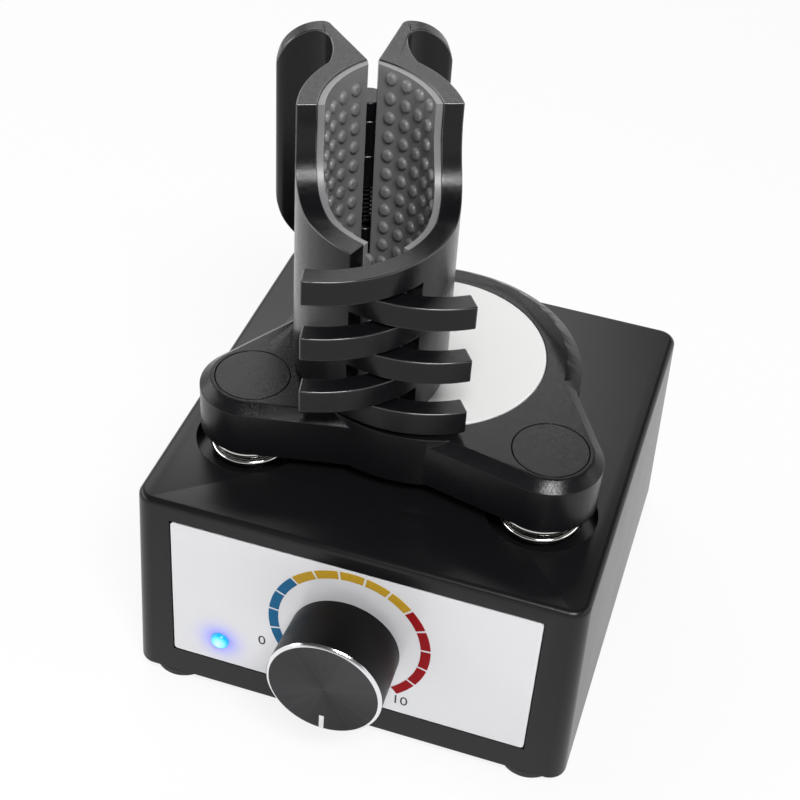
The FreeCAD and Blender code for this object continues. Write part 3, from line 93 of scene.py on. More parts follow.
# The photograph's view: bearing, height and roll in degrees, lens and sensor in millimetres
CAMERA_BEARING, CAMERA_LIFT, CAMERA_ROLL = 15.29, 40.82, 3.94
CAMERA_TARGET, CAMERA_DISTANCE = (-10.3, 20.27, 56.494), 461.356
CAMERA_LENS, CAMERA_SENSOR = 72.48, 36.0

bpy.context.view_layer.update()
JOINTS = {joint["name"]: joint for joint in frame["joints"]}
SLOTS = {row["slot"]: row for row in frame["record"]["materials"]}


def linear(name):
    """A material slot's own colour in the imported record."""
    return tuple(SLOTS[name]["base_color"])


# Settings
def length(name, text, default, low=0.0, high=1.0):
    """A setting that is a length in metres."""
    return FloatProperty(name=name, description=text, default=default, min=low, max=high,
                         unit="LENGTH", subtype="DISTANCE", precision=5)


def colour(name, text, default):
    """A setting that is a colour."""
    return FloatVectorProperty(name=name, description=text, default=default, min=0.0, max=1.0,
                               size=3, subtype="COLOR")


def turn(name, text, degrees):
    """A setting that is an angle."""
    return FloatProperty(name=name, description=text, default=math.radians(degrees),
                         unit="ROTATION", subtype="ANGLE")


class ShakerSizes(bpy.types.PropertyGroup):
    edge: length("Edge round", "Radius on moulded edges", 0.35 * MM)
    clamp_edge: length("Clamp edge round", "Radius on the edges of the jaws and the platform", 0.35 * MM)
    small_edge: length("Small edge round", "Radius on small turned and stamped edges", 0.12 * MM)
    crease: turn("Crease", "Edges sharper than this are rounded", 35)
    case_grain: length("Case grain", "Size of the grain on the case", 0.45 * MM)
    sparkle_grain: length("Sparkle grain", "Size of the bright grains on the clamp", 0.28 * MM)
    foot_round: length("Foot round", "Radius on the edges of the rubber feet", 1.2 * MM)
    bump_width: length("Bump width", "Width of one bump on the silicone pads", 3.7 * MM)
    bump_height: length("Bump height", "How far a bump stands out of its pad", 0.95 * MM)
    bump_pitch: length("Bump pitch", "Height from one row of bumps to the next", 5.55 * MM)
    bump_turn: turn("Bump turn", "Angle from one column of bumps to the next", 10.7)
    bump_sides: IntProperty(name="Bump sides", description="Sides of one bump", default=14, min=6, max=24)
    knob_steps: IntProperty(name="Knob steps", description="Steps round the knob", default=128, min=24,
                            max=256)
    digit_height: length("Digit height", "Height of the numbers on the dial", 3.4 * MM)
    print_thickness: length("Print thickness", "How far print stands out of its face", 0.05 * MM)
    floor_width: length("Floor width", "Width of the floor", 8.0, high=20.0)


class ShakerColours(bpy.types.PropertyGroup):
    case: colour("Case", "Colour of the case", (0.006, 0.006, 0.007))
    panel: colour("Panel", "Colour of the front panel", linear("panel_white"))
    cool: colour("Cool marks", "Colour of the slow marks of the dial", linear("print_blue"))
    warm: colour("Warm marks", "Colour of the middle marks of the dial", linear("print_yellow"))
    hot: colour("Hot marks", "Colour of the fast marks of the dial", linear("print_red"))
    lamp: colour("Lamp", "Colour of the lit lamp", linear("lamp"))
    knob: colour("Knob", "Colour of the knob's side", (0.005, 0.005, 0.006))
    platform: colour("Platform", "Colour of the platform", (0.005, 0.005, 0.006))
    disc: colour("Disc", "Colour of the white disc", linear("disc_white"))
    clamp: colour("Clamp", "Colour of the jaws", (0.005, 0.005, 0.006))
    pad: colour("Pads", "Colour of the silicone pads", (0.2, 0.2, 0.205))
    floor: colour("Floor", "Colour of the floor", (0.94, 0.94, 0.94))


def sizes():
    return bpy.context.scene.shaker_sizes


def colours():
    return bpy.context.scene.shaker_colours


# Shader groups
def shader_group(name, inputs, outputs):
    """A new node group with float or vector inputs, its input and output nodes, or the one made before."""
    made = bpy.data.node_groups.get(name)
    if made:
        return made, None, None
    made = bpy.data.node_groups.new(name, "ShaderNodeTree")
    for label, value in inputs.items():
        kind = "NodeSocketVector" if value is None else "NodeSocketFloat"
        socket = made.interface.new_socket(label, in_out="INPUT", socket_type=kind)
        if value is not None:
            socket.default_value = value
    for label in outputs:
        made.interface.new_socket(label, in_out="OUTPUT", socket_type="NodeSocketFloat")
    return made, made.nodes.new("NodeGroupInput"), made.nodes.new("NodeGroupOutput")


def maths(tree, operation, first, second=0.0, third=0.0):
    """A math node's output. Each operand is a number or a socket."""
    node = tree.nodes.new("ShaderNodeMath")
    node.operation = operation
    for socket, value in zip(node.inputs, (first, second, third)):
        if isinstance(value, (int, float)):
            socket.default_value = value
        else:
            tree.links.new(value, socket)
    return node.outputs[0]


def blended(tree, mask, low, high):
    """A colour between two, by a mask. Each is a colour or a socket."""
    node = tree.nodes.new("ShaderNodeMix")
    node.data_type = "RGBA"
    tree.links.new(mask, node.inputs["Factor"])
    for socket, value in ((node.inputs[6], low), (node.inputs[7], high)):
        if isinstance(value, tuple):
            socket.default_value = (*value, 1.0)
        else:
            tree.links.new(value, socket)
    return node.outputs[2]


def noise(tree, vector, scale, detail=2.0, roughness=0.5):
    """A noise texture's value. The scale is a number or a socket."""
    node = tree.nodes.new("ShaderNodeTexNoise")
    node.inputs["Detail"].default_value = detail
    node.inputs["Roughness"].default_value = roughness
    tree.links.new(vector, node.inputs["Vector"])
    if isinstance(scale, (int, float)):
        node.inputs["Scale"].default_value = scale
    else:
        tree.links.new(scale, node.inputs["Scale"])
    return node.outputs["Fac"]


def grain_group():
    """Fine moulded or cast grain: a height, and a roughness that varies a little with it."""
    group, given, made = shader_group("Moulded grain", {"Vector": None, "Size": 0.0005, "Roughness": 0.4,
                                                        "Spread": 0.08}, ("Height", "Roughness"))
    if made:
        scale = maths(group, "DIVIDE", 1.0, given.outputs["Size"])
        fine = noise(group, given.outputs["Vector"], scale)
        broad = noise(group, given.outputs["Vector"], maths(group, "MULTIPLY", scale, 0.02), 3.0)
        group.links.new(fine, made.inputs["Height"])
        shift = maths(group, "MULTIPLY_ADD", maths(group, "ADD", fine, broad), given.outputs["Spread"],
                      given.outputs["Roughness"])
        group.links.new(maths(group, "SUBTRACT", shift, given.outputs["Spread"]), made.inputs["Roughness"])
    return group


def sparkle_group():
    """Bright grains: a mask of the few that shine, and a height that tips each one its own way."""
    group, given, made = shader_group("Sparkle", {"Vector": None, "Size": 0.0003, "Share": 0.1},
                                      ("Mask", "Height"))
    if made:
        cells = group.nodes.new("ShaderNodeTexVoronoi")
        group.links.new(given.outputs["Vector"], cells.inputs["Vector"])
        group.links.new(maths(group, "DIVIDE", 1.0, given.outputs["Size"]), cells.inputs["Scale"])
        split = group.nodes.new("ShaderNodeSeparateColor")
        group.links.new(cells.outputs["Color"], split.inputs["Color"])
        limit = maths(group, "SUBTRACT", 1.0, given.outputs["Share"])
        group.links.new(maths(group, "GREATER_THAN", split.outputs[0], limit), made.inputs["Mask"])
        group.links.new(maths(group, "MULTIPLY", split.outputs[1], cells.outputs["Distance"]),
                        made.inputs["Height"])
    return group


def dust_group():
    """Faint dust: a mask in soft patches with a few specks, stronger on faces that look up."""
    group, given, made = shader_group("Dust", {"Vector": None, "Size": 0.012, "Amount": 0.1,
                                               "Specks": 0.0}, ("Mask",))
    if made:
        scale = maths(group, "DIVIDE", 1.0, given.outputs["Size"])
        patches = noise(group, given.outputs["Vector"], scale, 6.0, 0.65)
        facing = group.nodes.new("ShaderNodeSeparateXYZ")
        group.links.new(group.nodes.new("ShaderNodeNewGeometry").outputs["Normal"], facing.inputs[0])
        upward = maths(group, "MULTIPLY_ADD", maths(group, "MAXIMUM", facing.outputs["Z"], 0.0), 0.7, 0.3)
        cells = group.nodes.new("ShaderNodeTexVoronoi")
        cells.inputs["Scale"].default_value = 330.0
        group.links.new(given.outputs["Vector"], cells.inputs["Vector"])
        chance = group.nodes.new("ShaderNodeSeparateColor")
        group.links.new(cells.outputs["Color"], chance.inputs["Color"])
        near = maths(group, "LESS_THAN", cells.outputs["Distance"], 0.05)
        speck = maths(group, "MULTIPLY", near, maths(group, "GREATER_THAN", chance.outputs[0], 0.9))
        spread = maths(group, "MULTIPLY", maths(group, "POWER", patches, 2.0), given.outputs["Amount"])
        both = maths(group, "MAXIMUM", spread, maths(group, "MULTIPLY", speck, given.outputs["Specks"]))
        group.links.new(maths(group, "MULTIPLY", both, upward), made.inputs["Mask"])
    return group


def turned_group():
    """Turning marks about the Z axis: a height in fine rings, and a sheen mask that varies round the axis, which
    the knob's face paints into its colour as a painted highlight and the ring and brass use as roughness.
    """
    group, given, made = shader_group("Turned", {"Vector": None, "Pitch": 0.0003}, ("Height", "Sheen"))
    if made:
        split = group.nodes.new("ShaderNodeSeparateXYZ")
        group.links.new(given.outputs["Vector"], split.inputs[0])
        x, y = split.outputs["X"], split.outputs["Y"]
        reach = maths(group, "SQRT", maths(group, "ADD", maths(group, "MULTIPLY", x, x),
                                           maths(group, "MULTIPLY", y, y)))
        phase = maths(group, "MULTIPLY", maths(group, "DIVIDE", reach, given.outputs["Pitch"]), math.tau)
        group.links.new(maths(group, "SINE", phase), made.inputs["Height"])
        angle = group.nodes.new("ShaderNodeCombineXYZ")
        about = maths(group, "ARCTAN2", y, x)
        group.links.new(about, angle.inputs["X"])
        fan = maths(group, "SINE", maths(group, "MULTIPLY_ADD", about, 2.0, 0.6))
        streaks = noise(group, angle.outputs[0], 5.0, 4.0, 0.6)
        group.links.new(maths(group, "MULTIPLY_ADD", fan, 0.3, streaks), made.inputs["Sheen"])
    return group


# Finishes
class Finish:
    """One material under way: its tree, its shader, and where its patterns are read."""

    def __init__(self, name, base, roughness, **sockets):
        self.material = bpy.data.materials.new(name)
        self.material.use_nodes = True
        self.tree = self.material.node_tree
        self.shader = self.tree.nodes["Principled BSDF"]
        self.vector = self.tree.nodes.new("ShaderNodeTexCoord").outputs["Object"]
        self.material.diffuse_color = (*base, 1.0)
        self.shader.inputs["Base Color"].default_value = (*base, 1.0)
        self.shader.inputs["Roughness"].default_value = roughness
        for label, value in sockets.items():
            self.shader.inputs[label.replace("_", " ")].default_value = value

    def about(self, place):
        """Read the patterns in a place's own axes."""
        mapping = self.tree.nodes.new("ShaderNodeMapping")
        mapping.vector_type = "TEXTURE"
        mapping.inputs["Location"].default_value = place.to_translation()
        mapping.inputs["Rotation"].default_value = place.to_euler()
        self.tree.links.new(self.vector, mapping.inputs["Vector"])
        self.vector = mapping.outputs["Vector"]
        return self

    def group(self, group, **values):
        """Place a group in the material, with its own values."""
        node = self.tree.nodes.new("ShaderNodeGroup")
        node.node_tree = group
        self.tree.links.new(self.vector, node.inputs["Vector"])
        for label, value in values.items():
            node.inputs[label].default_value = value
        return node.outputs

    def feed(self, socket, label):
        self.tree.links.new(socket, self.shader.inputs[label])
        return self

    def raised(self, height, depth, strength=1.0):
        """Give the surface a relief that deep."""
        bump = self.tree.nodes.new("ShaderNodeBump")
        bump.inputs["Distance"].default_value = depth
        bump.inputs["Strength"].default_value = strength
        self.tree.links.new(height, bump.inputs["Height"])
        self.tree.links.new(bump.outputs["Normal"], self.shader.inputs["Normal"])
        return self

    def dusted(self, base, pale, amount, size=0.012, specks=0.0):
        """Lighten the base colour a little where dust lies."""
        mask = self.group(dust_group(), Size=size, Amount=amount, Specks=specks)["Mask"]
        return self.feed(blended(self.tree, mask, tuple(base), pale), "Base Color")


def moulded(name, base, roughness, grain, depth, dust=0.12, specks=0.0, spread=0.08, **sockets):
    """Moulded plastic or rubber with fine grain and faint dust."""
    finish = Finish(name, base, roughness, **sockets)
    out = finish.group(grain_group(), Size=grain, Roughness=roughness, Spread=spread)
    finish.feed(out["Roughness"], "Roughness").raised(out["Height"], depth)
    pale = tuple(min(1.0, part * 1.6 + 0.05) for part in base)
    return finish.dusted(base, pale, dust, specks=specks)


def sparkling(name, base, roughness):
    """Black plastic whose grain throws small bright points in its highlights."""
    finish = Finish(name, base, roughness, Specular_IOR_Level=0.25)
    points = finish.group(sparkle_group(), Size=sizes().sparkle_grain, Share=0.2)
    grain = finish.group(grain_group(), Size=sizes().case_grain, Roughness=roughness, Spread=0.05)
    lit = maths(finish.tree, "MULTIPLY", points["Mask"], -0.12)
    finish.feed(maths(finish.tree, "ADD", grain["Roughness"], lit), "Roughness")
    finish.raised(points["Height"], 0.00003)
    return finish.dusted(base, (0.05, 0.05, 0.055), 0.04)


def metal(name, base, roughness, size=0.002, spread=0.12):
    """Plain metal, a little mottled."""
    finish = Finish(name, base, roughness, Metallic=1.0)
    out = finish.group(grain_group(), Size=size, Roughness=roughness, Spread=spread)
    darker = tuple(part * 0.72 for part in base)
    mask = finish.group(dust_group(), Size=size * 4, Amount=0.8)["Mask"]
    finish.feed(blended(finish.tree, mask, tuple(base), darker), "Base Color")
    return finish.feed(out["Roughness"], "Roughness").raised(out["Height"], 0.00001)


def printed(name, base):
    """Ink on the panel: even, with a slightly mottled gloss."""
    finish = Finish(name, base, 0.38, Specular_IOR_Level=0.05)
    out = finish.group(grain_group(), Size=0.0004, Roughness=0.38, Spread=0.06)
    deep = tuple(part * 0.8 for part in base)
    mask = noise(finish.tree, finish.vector, 900.0, 3.0)
    finish.feed(blended(finish.tree, mask, deep, tuple(base)), "Base Color")
    return finish.feed(out["Roughness"], "Roughness")


def distance_from(finish, centre):
    """How far a point of the surface is from a point of the object, as a socket."""
    node = finish.tree.nodes.new("ShaderNodeVectorMath")
    node.operation = "DISTANCE"
    finish.tree.links.new(finish.vector, node.inputs[0])
    node.inputs[1].default_value = centre
    return node.outputs["Value"]


def white_panel():
    """Semi-gloss white plastic with the lamp's blue light painted round it: a painted pool of light in its base
    colour, and a painted glow.
    """
    base = tuple(colours().panel)
    finish = moulded("White panel", base, 0.26, 0.0006, 0.000001, dust=0.0, spread=0.02, Coat_Weight=0.25)
    reach = maths(finish.tree, "DIVIDE", distance_from(finish, LAMP_PLACE.to_translation()),
                  HALO_REACH * MM)
    falling = maths(finish.tree, "MULTIPLY", maths(finish.tree, "POWER", reach, 2.0), -1.0)
    glow = maths(finish.tree, "EXPONENT", falling)
    # Painted light: the lamp's blue pool is painted into the base colour and given off as a glow, fading with
    # distance from the lamp.
    finish.feed(blended(finish.tree, glow, base, (0.3, 0.28, 0.75)), "Base Color")
    finish.feed(blended(finish.tree, glow, NOTHING, (0.03, 0.06, 1.0)), "Emission Color")
    finish.shader.inputs["Emission Strength"].default_value = 0.45
    return finish


def lit_lens():
    """The lit lamp: nearly white in the middle, its own colour round it, deeper at the rim."""
    base = tuple(colours().lamp)
    finish = Finish("Lit lens", tuple(part * 0.3 for part in base), 0.12, Emission_Strength=1.0)
    middle = LAMP_PLACE @ Vector((0, 0, 1.5 * MM))
    reach = maths(finish.tree, "DIVIDE", distance_from(finish, middle), (LENS_RADIUS + 0.1) * MM)
    near = maths(finish.tree, "MINIMUM", reach, 1.0)
    core = maths(finish.tree, "SUBTRACT", 1.0, near)
    rim = maths(finish.tree, "POWER", near, 4.0)
    lit = blended(finish.tree, core, (0.0, 0.72, 0.98), (0.75, 1.0, 1.0))
    finish.feed(blended(finish.tree, rim, lit, (0.0, 0.3, 0.62)), "Emission Color")
    return finish


def knob_side():
    """The knob's black side, faintly turned."""
    finish = Finish("Knob side", tuple(colours().knob), 0.36, Specular_IOR_Level=0.1)
    finish.about(DIAL_PLACE)
    split = finish.tree.nodes.new("ShaderNodeSeparateXYZ")
    finish.tree.links.new(finish.vector, split.inputs[0])
    lines = noise(finish.tree, split.outputs["Z"], 9000.0, 2.0)
    out = finish.group(grain_group(), Size=0.0008, Roughness=0.36, Spread=0.04)
    return finish.feed(out["Roughness"], "Roughness").raised(lines, 0.000004)


def knob_face():
    """The knob's turned face: dark, with a painted sheen that fans out from its middle, painted lighter and darker
    into its base colour.
    """
    base = (0.034, 0.034, 0.036)
    finish = Finish("Knob face", base, 0.36, Metallic=0.8).about(DIAL_PLACE)
    out = finish.group(turned_group(), Pitch=0.00035)
    # Painted sheen: the base colour goes from darker to lighter round the axis, standing in for the fanned
    # highlight of turned metal.
    finish.feed(blended(finish.tree, out["Sheen"], tuple(part * 0.7 for part in base),
                        tuple(part * 1.5 for part in base)), "Base Color")
    return finish.raised(out["Height"], 0.000006)


def bright_ring():
    """The diamond-cut ring round the knob's face."""
    finish = Finish("Knob ring", (0.82, 0.82, 0.84), 0.16, Metallic=1.0).about(DIAL_PLACE)
    out = finish.group(turned_group(), Pitch=0.0002)
    shade = maths(finish.tree, "MULTIPLY_ADD", out["Sheen"], 0.12, 0.1)
    return finish.feed(shade, "Roughness").raised(out["Height"], 0.000004)


def turned_brass():
    """Turned brass, its marks about the motor's axis."""
    finish = Finish("Turned brass", linear("brass"), 0.28, Metallic=1.0)
    finish.about(Matrix.Translation(JOINTS["motor_spin"]["pos_m"]))
    out = finish.group(turned_group(), Pitch=0.0005)
    finish.feed(maths(finish.tree, "MULTIPLY_ADD", out["Sheen"], 0.15, 0.2), "Roughness")
    return finish.raised(out["Height"], 0.00001)


def wound_copper():
    """Varnished copper wire and steel sheet, in layers up the axis."""
    finish = Finish("Wound copper", linear("copper"), 0.4, Metallic=0.9)
    split = finish.tree.nodes.new("ShaderNodeSeparateXYZ")
    finish.tree.links.new(finish.vector, split.inputs[0])
    phase = maths(finish.tree, "MULTIPLY", split.outputs["Z"], math.tau / (0.5 * MM))
    layers = maths(finish.tree, "SINE", phase)
    mask = maths(finish.tree, "MULTIPLY_ADD", layers, 0.5, 0.5)
    finish.feed(blended(finish.tree, mask, (0.25, 0.08, 0.03), linear("copper")), "Base Color")
    return finish.raised(layers, 0.00005)


def solder_mask():
    """The board's green lacquer with its paler tracks."""
    finish = Finish("Solder mask", linear("board_green"), 0.35)
    tracks = finish.tree.nodes.new("ShaderNodeTexBrick")
    tracks.inputs["Scale"].default_value = 160.0
    tracks.inputs["Mortar Size"].default_value = 0.06
    tracks.inputs["Color1"].default_value = (*linear("board_green"), 1.0)
    tracks.inputs["Color2"].default_value = (0.015, 0.12, 0.045, 1.0)
    tracks.inputs["Mortar"].default_value = (0.05, 0.3, 0.12, 1.0)
    finish.tree.links.new(finish.vector, tracks.inputs["Vector"])
    finish.feed(tracks.outputs["Color"], "Base Color")
    return finish.raised(tracks.outputs["Fac"], 0.00003)


def chrome_wire():
    """Polished spring wire with faint drawing marks."""
    finish = Finish("Chrome wire", linear("spring_chrome"), 0.14, Metallic=1.0)
    out = finish.group(grain_group(), Size=0.0004, Roughness=0.14, Spread=0.06)
    return finish.feed(out["Roughness"], "Roughness").raised(out["Height"], 0.000003)


def silicone():
    """Soft grey silicone: dull, with fine grain and faint dust."""
    base = tuple(colours().pad)
    return moulded("Grey silicone", base, 0.34, 0.0005, 0.000006, dust=0.12, Specular_IOR_Level=0.5)


FINISHES = {
    "case_black": lambda: moulded("Black case", tuple(colours().case), 0.3, sizes().case_grain, 0.000008,
                                  0.05, 0.5, Specular_IOR_Level=0.28),
    "panel_white": white_panel,
    "print_blue": lambda: printed("Cool ink", tuple(colours().cool)),
    "print_yellow": lambda: printed("Warm ink", tuple(colours().warm)),
    "print_red": lambda: printed("Hot ink", tuple(colours().hot)),
    "lamp": lit_lens,
    "rubber_black": lambda: moulded("Black rubber", linear("rubber_black"), 0.75, 0.0006, 0.00002, 0.3),
    "knob_metal": knob_side,
    "knob_face": knob_face,
    "knob_ring": bright_ring,
    "pointer_white": lambda: printed("White fill", linear("pointer_white")),
    "steel": lambda: metal("Bright steel", linear("steel"), 0.22),
    "zinc_steel": lambda: metal("Zinc plate", linear("zinc_steel"), 0.34, 0.0015, 0.2),
    "spring_chrome": chrome_wire,
    "brass": turned_brass,
    "dark_steel": lambda: metal("Dark spring steel", (0.012, 0.012, 0.013), 0.5),
    "board_green": solder_mask,
    "part_black": lambda: moulded("Black moulding", linear("part_black"), 0.5, 0.0004, 0.00001),
    "magnet": lambda: moulded("Ferrite", linear("magnet"), 0.7, 0.0003, 0.00003, 0.2),
    "copper": wound_copper,
    "platform_black": lambda: sparkling("Black platform", tuple(colours().platform), 0.26),
    "disc_white": lambda: moulded("White disc", tuple(colours().disc), 0.45, 0.0006, 0.000004, 0.02),
    "clamp_black": lambda: sparkling("Black clamp", tuple(colours().clamp), 0.24),
    # Painted highlight: a lighter, far glossier black on the rounded edges, so that they show bright highlight
    # lines.
    "clamp_edge": lambda: moulded("Rubbed black edge", (0.012, 0.012, 0.013), 0.2, sizes().case_grain,
                                  0.000003, 0.0, spread=0.03, Specular_IOR_Level=1.0),
    "silicone_grey": silicone,
    # Painted highlight: the pads' rounded lips get a paler, glossier grey than the pad, so that they read as a
    # bright line.
    "silicone_lip_highlight": lambda: moulded("Silicone lip", (0.38, 0.38, 0.39), 0.3, 0.0005, 0.000004, 0.0,
                                    Specular_IOR_Level=0.9),
    "dial_ink": lambda: printed("Grey ink", (0.06, 0.06, 0.065)),
}
MADE = {}


def finish(name):
    """The material of that name, made the first time that it is asked for."""
    if name not in MADE:
        MADE[name] = FINISHES[name]().material
    return MADE[name]


# Pieces
def axes(origin, out):
    """A place whose Z axis points that way and whose X axis stays level."""
    z = Vector(out).normalized()
    x = Vector((0, 0, 1)).cross(z).normalized() if abs(z.z) < 0.9 else Vector((1, 0, 0))
    place = Matrix((x, z.cross(x), z)).transposed().to_4x4()
    place.translation = origin
    return place


DIAL_PLACE = axes(JOINTS["knob_turn"]["pos_m"], -Vector(JOINTS["knob_turn"]["axis"]))
LAMP_PLACE = DIAL_PLACE @ Matrix.Translation((LAMP_SPOT[0] * MM, LAMP_SPOT[1] * MM, 0))
CLAMP_PLACE = (Matrix.Translation((CLAMP_SPOT[0] * MM, CLAMP_SPOT[1] * MM, 0))
               @ Matrix.Rotation(math.radians(CLAMP_TURN), 4, "Z"))


def keep(name, mesh, body, slot, finishes=None, stands_for=(), crease=None):
    """Make an object of a finished mesh, shade it, and tie it to its body, slot and CAD nodes."""
    for made in finishes or [finish(slot)]:
        mesh.materials.append(made)
    mesh.polygons.foreach_set("use_smooth", [True] * len(mesh.polygons))
    mesh.set_sharp_from_angle(angle=crease or sizes().crease)
    piece = bpy.data.objects.new(name, mesh)
    bpy.context.scene.collection.objects.link(piece)
    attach(piece, body)
    if stands_for:
        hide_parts(*stands_for)
    return piece


def mesh_of(name, bm, place=None):
    """A mesh from a bmesh, moved to its place, with its normals outwards."""
    bmesh.ops.recalc_face_normals(bm, faces=bm.faces)
    if place:
        bm.transform(place)
    mesh = bpy.data.meshes.new(name)
    bm.to_mesh(mesh)
    bm.free()
    return mesh


def rounded_edges(piece, radius, highlight_finish, held):
    """Round a piece's sharp edges with a bevel that leaves its flat faces flat.

    The rounding has a lighter, glossier finish of its own where a highlight finish is given,
    which paints bright highlight lines along the edges. A held bevel is no wider than the
    piece's shortest edge allows.
    """
    if highlight_finish:
        piece.data.materials.append(finish(highlight_finish))
    bevel = piece.modifiers.new("Rounded edges", "BEVEL")
    bevel.limit_method = "ANGLE"
    bevel.angle_limit = sizes().crease
    bevel.width = radius
    bevel.segments = 3
    bevel.use_clamp_overlap = held
    bevel.harden_normals = True
    if highlight_finish:
        bevel.material = 1
    return piece


def taken_over(node, name, body, slot, radius, highlight_finish=None, held=True):
    """A merged copy of a CAD node with its sharp edges rounded, in the node's place.

    Where the bevel isn't held, the shortest edges are merged first, and the top is lowered by a hair
    so that the rounded copy stays inside the node's box.
    """
    bm = bmesh.new()
    bm.from_mesh(frame["nodes"][node].data)
    bmesh.ops.remove_doubles(bm, verts=bm.verts, dist=1e-6 if held else 2e-4)
    if not held:
        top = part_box(node)[1].z - 0.03 * MM
        for vertex in bm.verts:
            vertex.co.z = min(vertex.co.z, top)
    bmesh.ops.dissolve_limit(bm, angle_limit=math.radians(0.5), verts=bm.verts, edges=bm.edges)
    mesh = bpy.data.meshes.new(name)
    bm.to_mesh(mesh)
    bm.free()
    return rounded_edges(keep(name, mesh, body, slot, stands_for=(node,)), radius, highlight_finish, held)


def spun(profile, steps):
    """A round piece from its profile, as pairs of radius and height in millimetres."""
    bm = bmesh.new()
    row = [bm.verts.new((radius * MM, 0, height * MM)) for radius, height in profile]
    edges = [bm.edges.new(pair) for pair in zip(row, row[1:])]
    bmesh.ops.spin(bm, geom=row + edges, cent=(0, 0, 0), axis=(0, 0, 1), angle=math.tau, steps=steps,
                   use_merge=True, use_duplicate=False)
    bmesh.ops.remove_doubles(bm, verts=bm.verts, dist=1e-6)
    return bm


# Operators, one for each piece or group of like pieces
class SHAKER_OT_case(bpy.types.Operator):
    """Build the case: its shell, base plate, feet, screws and power inlet"""
    bl_idname = "shaker.case"
    bl_label = "Case"

    def execute(self, context):
        taken_over("housing_shell", "case", "base", "case_black", sizes().edge)
        taken_over("bottom_plate", "base_plate", "base", "case_black", sizes().edge)
        taken_over("rubber_feet", "feet", "base", "rubber_black", sizes().foot_round)
        taken_over("bottom_screws", "base_screws", "base", "zinc_steel", sizes().small_edge)
        taken_over("dc_inlet", "power_inlet", "base", "part_black", sizes().small_edge)
        return {"FINISHED"}


class SHAKER_OT_front(bpy.types.Operator):
    """Build the front: the white panel and the printed marks and numbers of the dial"""
    bl_idname = "shaker.front"
    bl_label = "Front panel"

    def execute(self, context):
        taken_over("front_panel", "white_panel", "base", "panel_white", sizes().edge)
        for third, slot in (("low", "print_blue"), ("mid", "print_yellow"), ("high", "print_red")):
            taken_over("scale_marks_" + third, "dial_" + third, "base", slot, 0.03 * MM)
        for number, x, y in NUMBER_SPOTS:
            self.digits(number, Matrix.Translation((x * MM, y * MM, 0)))
        return {"FINISHED"}

    def digits(self, number, shift):
        """One printed number, made a mesh before it takes its place."""
        text = bpy.data.curves.new("number", "FONT")
        text.body = number
        text.size = sizes().digit_height * 1.35
        text.extrude = sizes().print_thickness / 2
        text.align_x = "CENTER"
        text.align_y = "CENTER"
        text.resolution_u = 6
        drawn = bpy.data.objects.new("number", text)
        bpy.context.scene.collection.objects.link(drawn)
        bpy.context.view_layer.update()
        mesh = bpy.data.meshes.new_from_object(drawn)
        bpy.data.objects.remove(drawn)
        bpy.data.curves.remove(text)
        mesh.transform(DIAL_PLACE @ shift @ Matrix.Translation((0, 0, sizes().print_thickness / 2)))
        mesh.materials.clear()
        keep("number_" + number, mesh, "base", "part_black", [finish("dial_ink")])


class SHAKER_OT_lamp(bpy.types.Operator):
    """Build the lit lamp with its low dome"""
    bl_idname = "shaker.lamp"
    bl_label = "Lamp"

    def execute(self, context):
        dome = [(LENS_RADIUS * math.cos(math.radians(angle)), 0.4 + 1.2 * math.sin(math.radians(angle)))
                for angle in range(0, 91, 9)]
        profile = [(0, -7.0), (LENS_FLANGE, -7.0), (LENS_FLANGE, -1.5), (LENS_RADIUS, -1.5)] + dome
        bm = spun(profile, LENS_STEPS)
        keep("lamp_lens", mesh_of("lamp_lens", bm, LAMP_PLACE), "base", "lamp", stands_for=("power_led",))
        return {"FINISHED"}


class SHAKER_OT_knob(bpy.types.Operator):
    """Build the knob: a turned side, a bright ring, a dark face and a white pointer"""
    bl_idname = "shaker.knob"
    bl_label = "Speed knob"

    def execute(self, context):
        bm = spun(KNOB_PROFILE, sizes().knob_steps)
        for face in bm.faces:
            middle = face.calc_center_median()
            reach = math.hypot(middle.x, middle.y) / MM
            if middle.z > KNOB_FACE_HEIGHT * MM and reach < KNOB_FACE_REACH:
                face.material_index = 1
            elif middle.z > KNOB_RING_HEIGHT * MM and reach > KNOB_FACE_REACH:
                face.material_index = 2
        made = [finish("knob_metal"), finish("knob_face"), finish("knob_ring")]
        keep("knob", mesh_of("knob", bm, DIAL_PLACE), "knob", "knob_metal", made, ("speed_knob",))
        bm = bmesh.new()
        bmesh.ops.create_cube(bm, size=1.0)
        bmesh.ops.scale(bm, verts=bm.verts, vec=Vector(POINTER_SIZE) * MM)
        bmesh.ops.translate(bm, verts=bm.verts, vec=Vector(POINTER_SPOT) * MM)
        bmesh.ops.bevel(bm, geom=bm.edges[:], offset=POINTER_EDGE * MM, affect="EDGES", segments=2,
                        profile=0.5, material=-1)
        keep("pointer", mesh_of("pointer", bm, DIAL_PLACE), "knob", "pointer_white",
             stands_for=("knob_pointer",))
        return {"FINISHED"}


class SHAKER_OT_platform(bpy.types.Operator):
    """Build the platform with its white disc and the caps of its lobes"""
    bl_idname = "shaker.platform"
    bl_label = "Platform"

    def execute(self, context):
        taken_over("platform", "carrier", "platform", "platform_black", sizes().clamp_edge)
        taken_over("top_disc", "white_disc", "platform", "disc_white", sizes().edge)
        for side in ("left", "right"):
            taken_over("lobe_cap_" + side, side + "_lobe_cap", "platform", "platform_black",
                       sizes().small_edge)
        return {"FINISHED"}


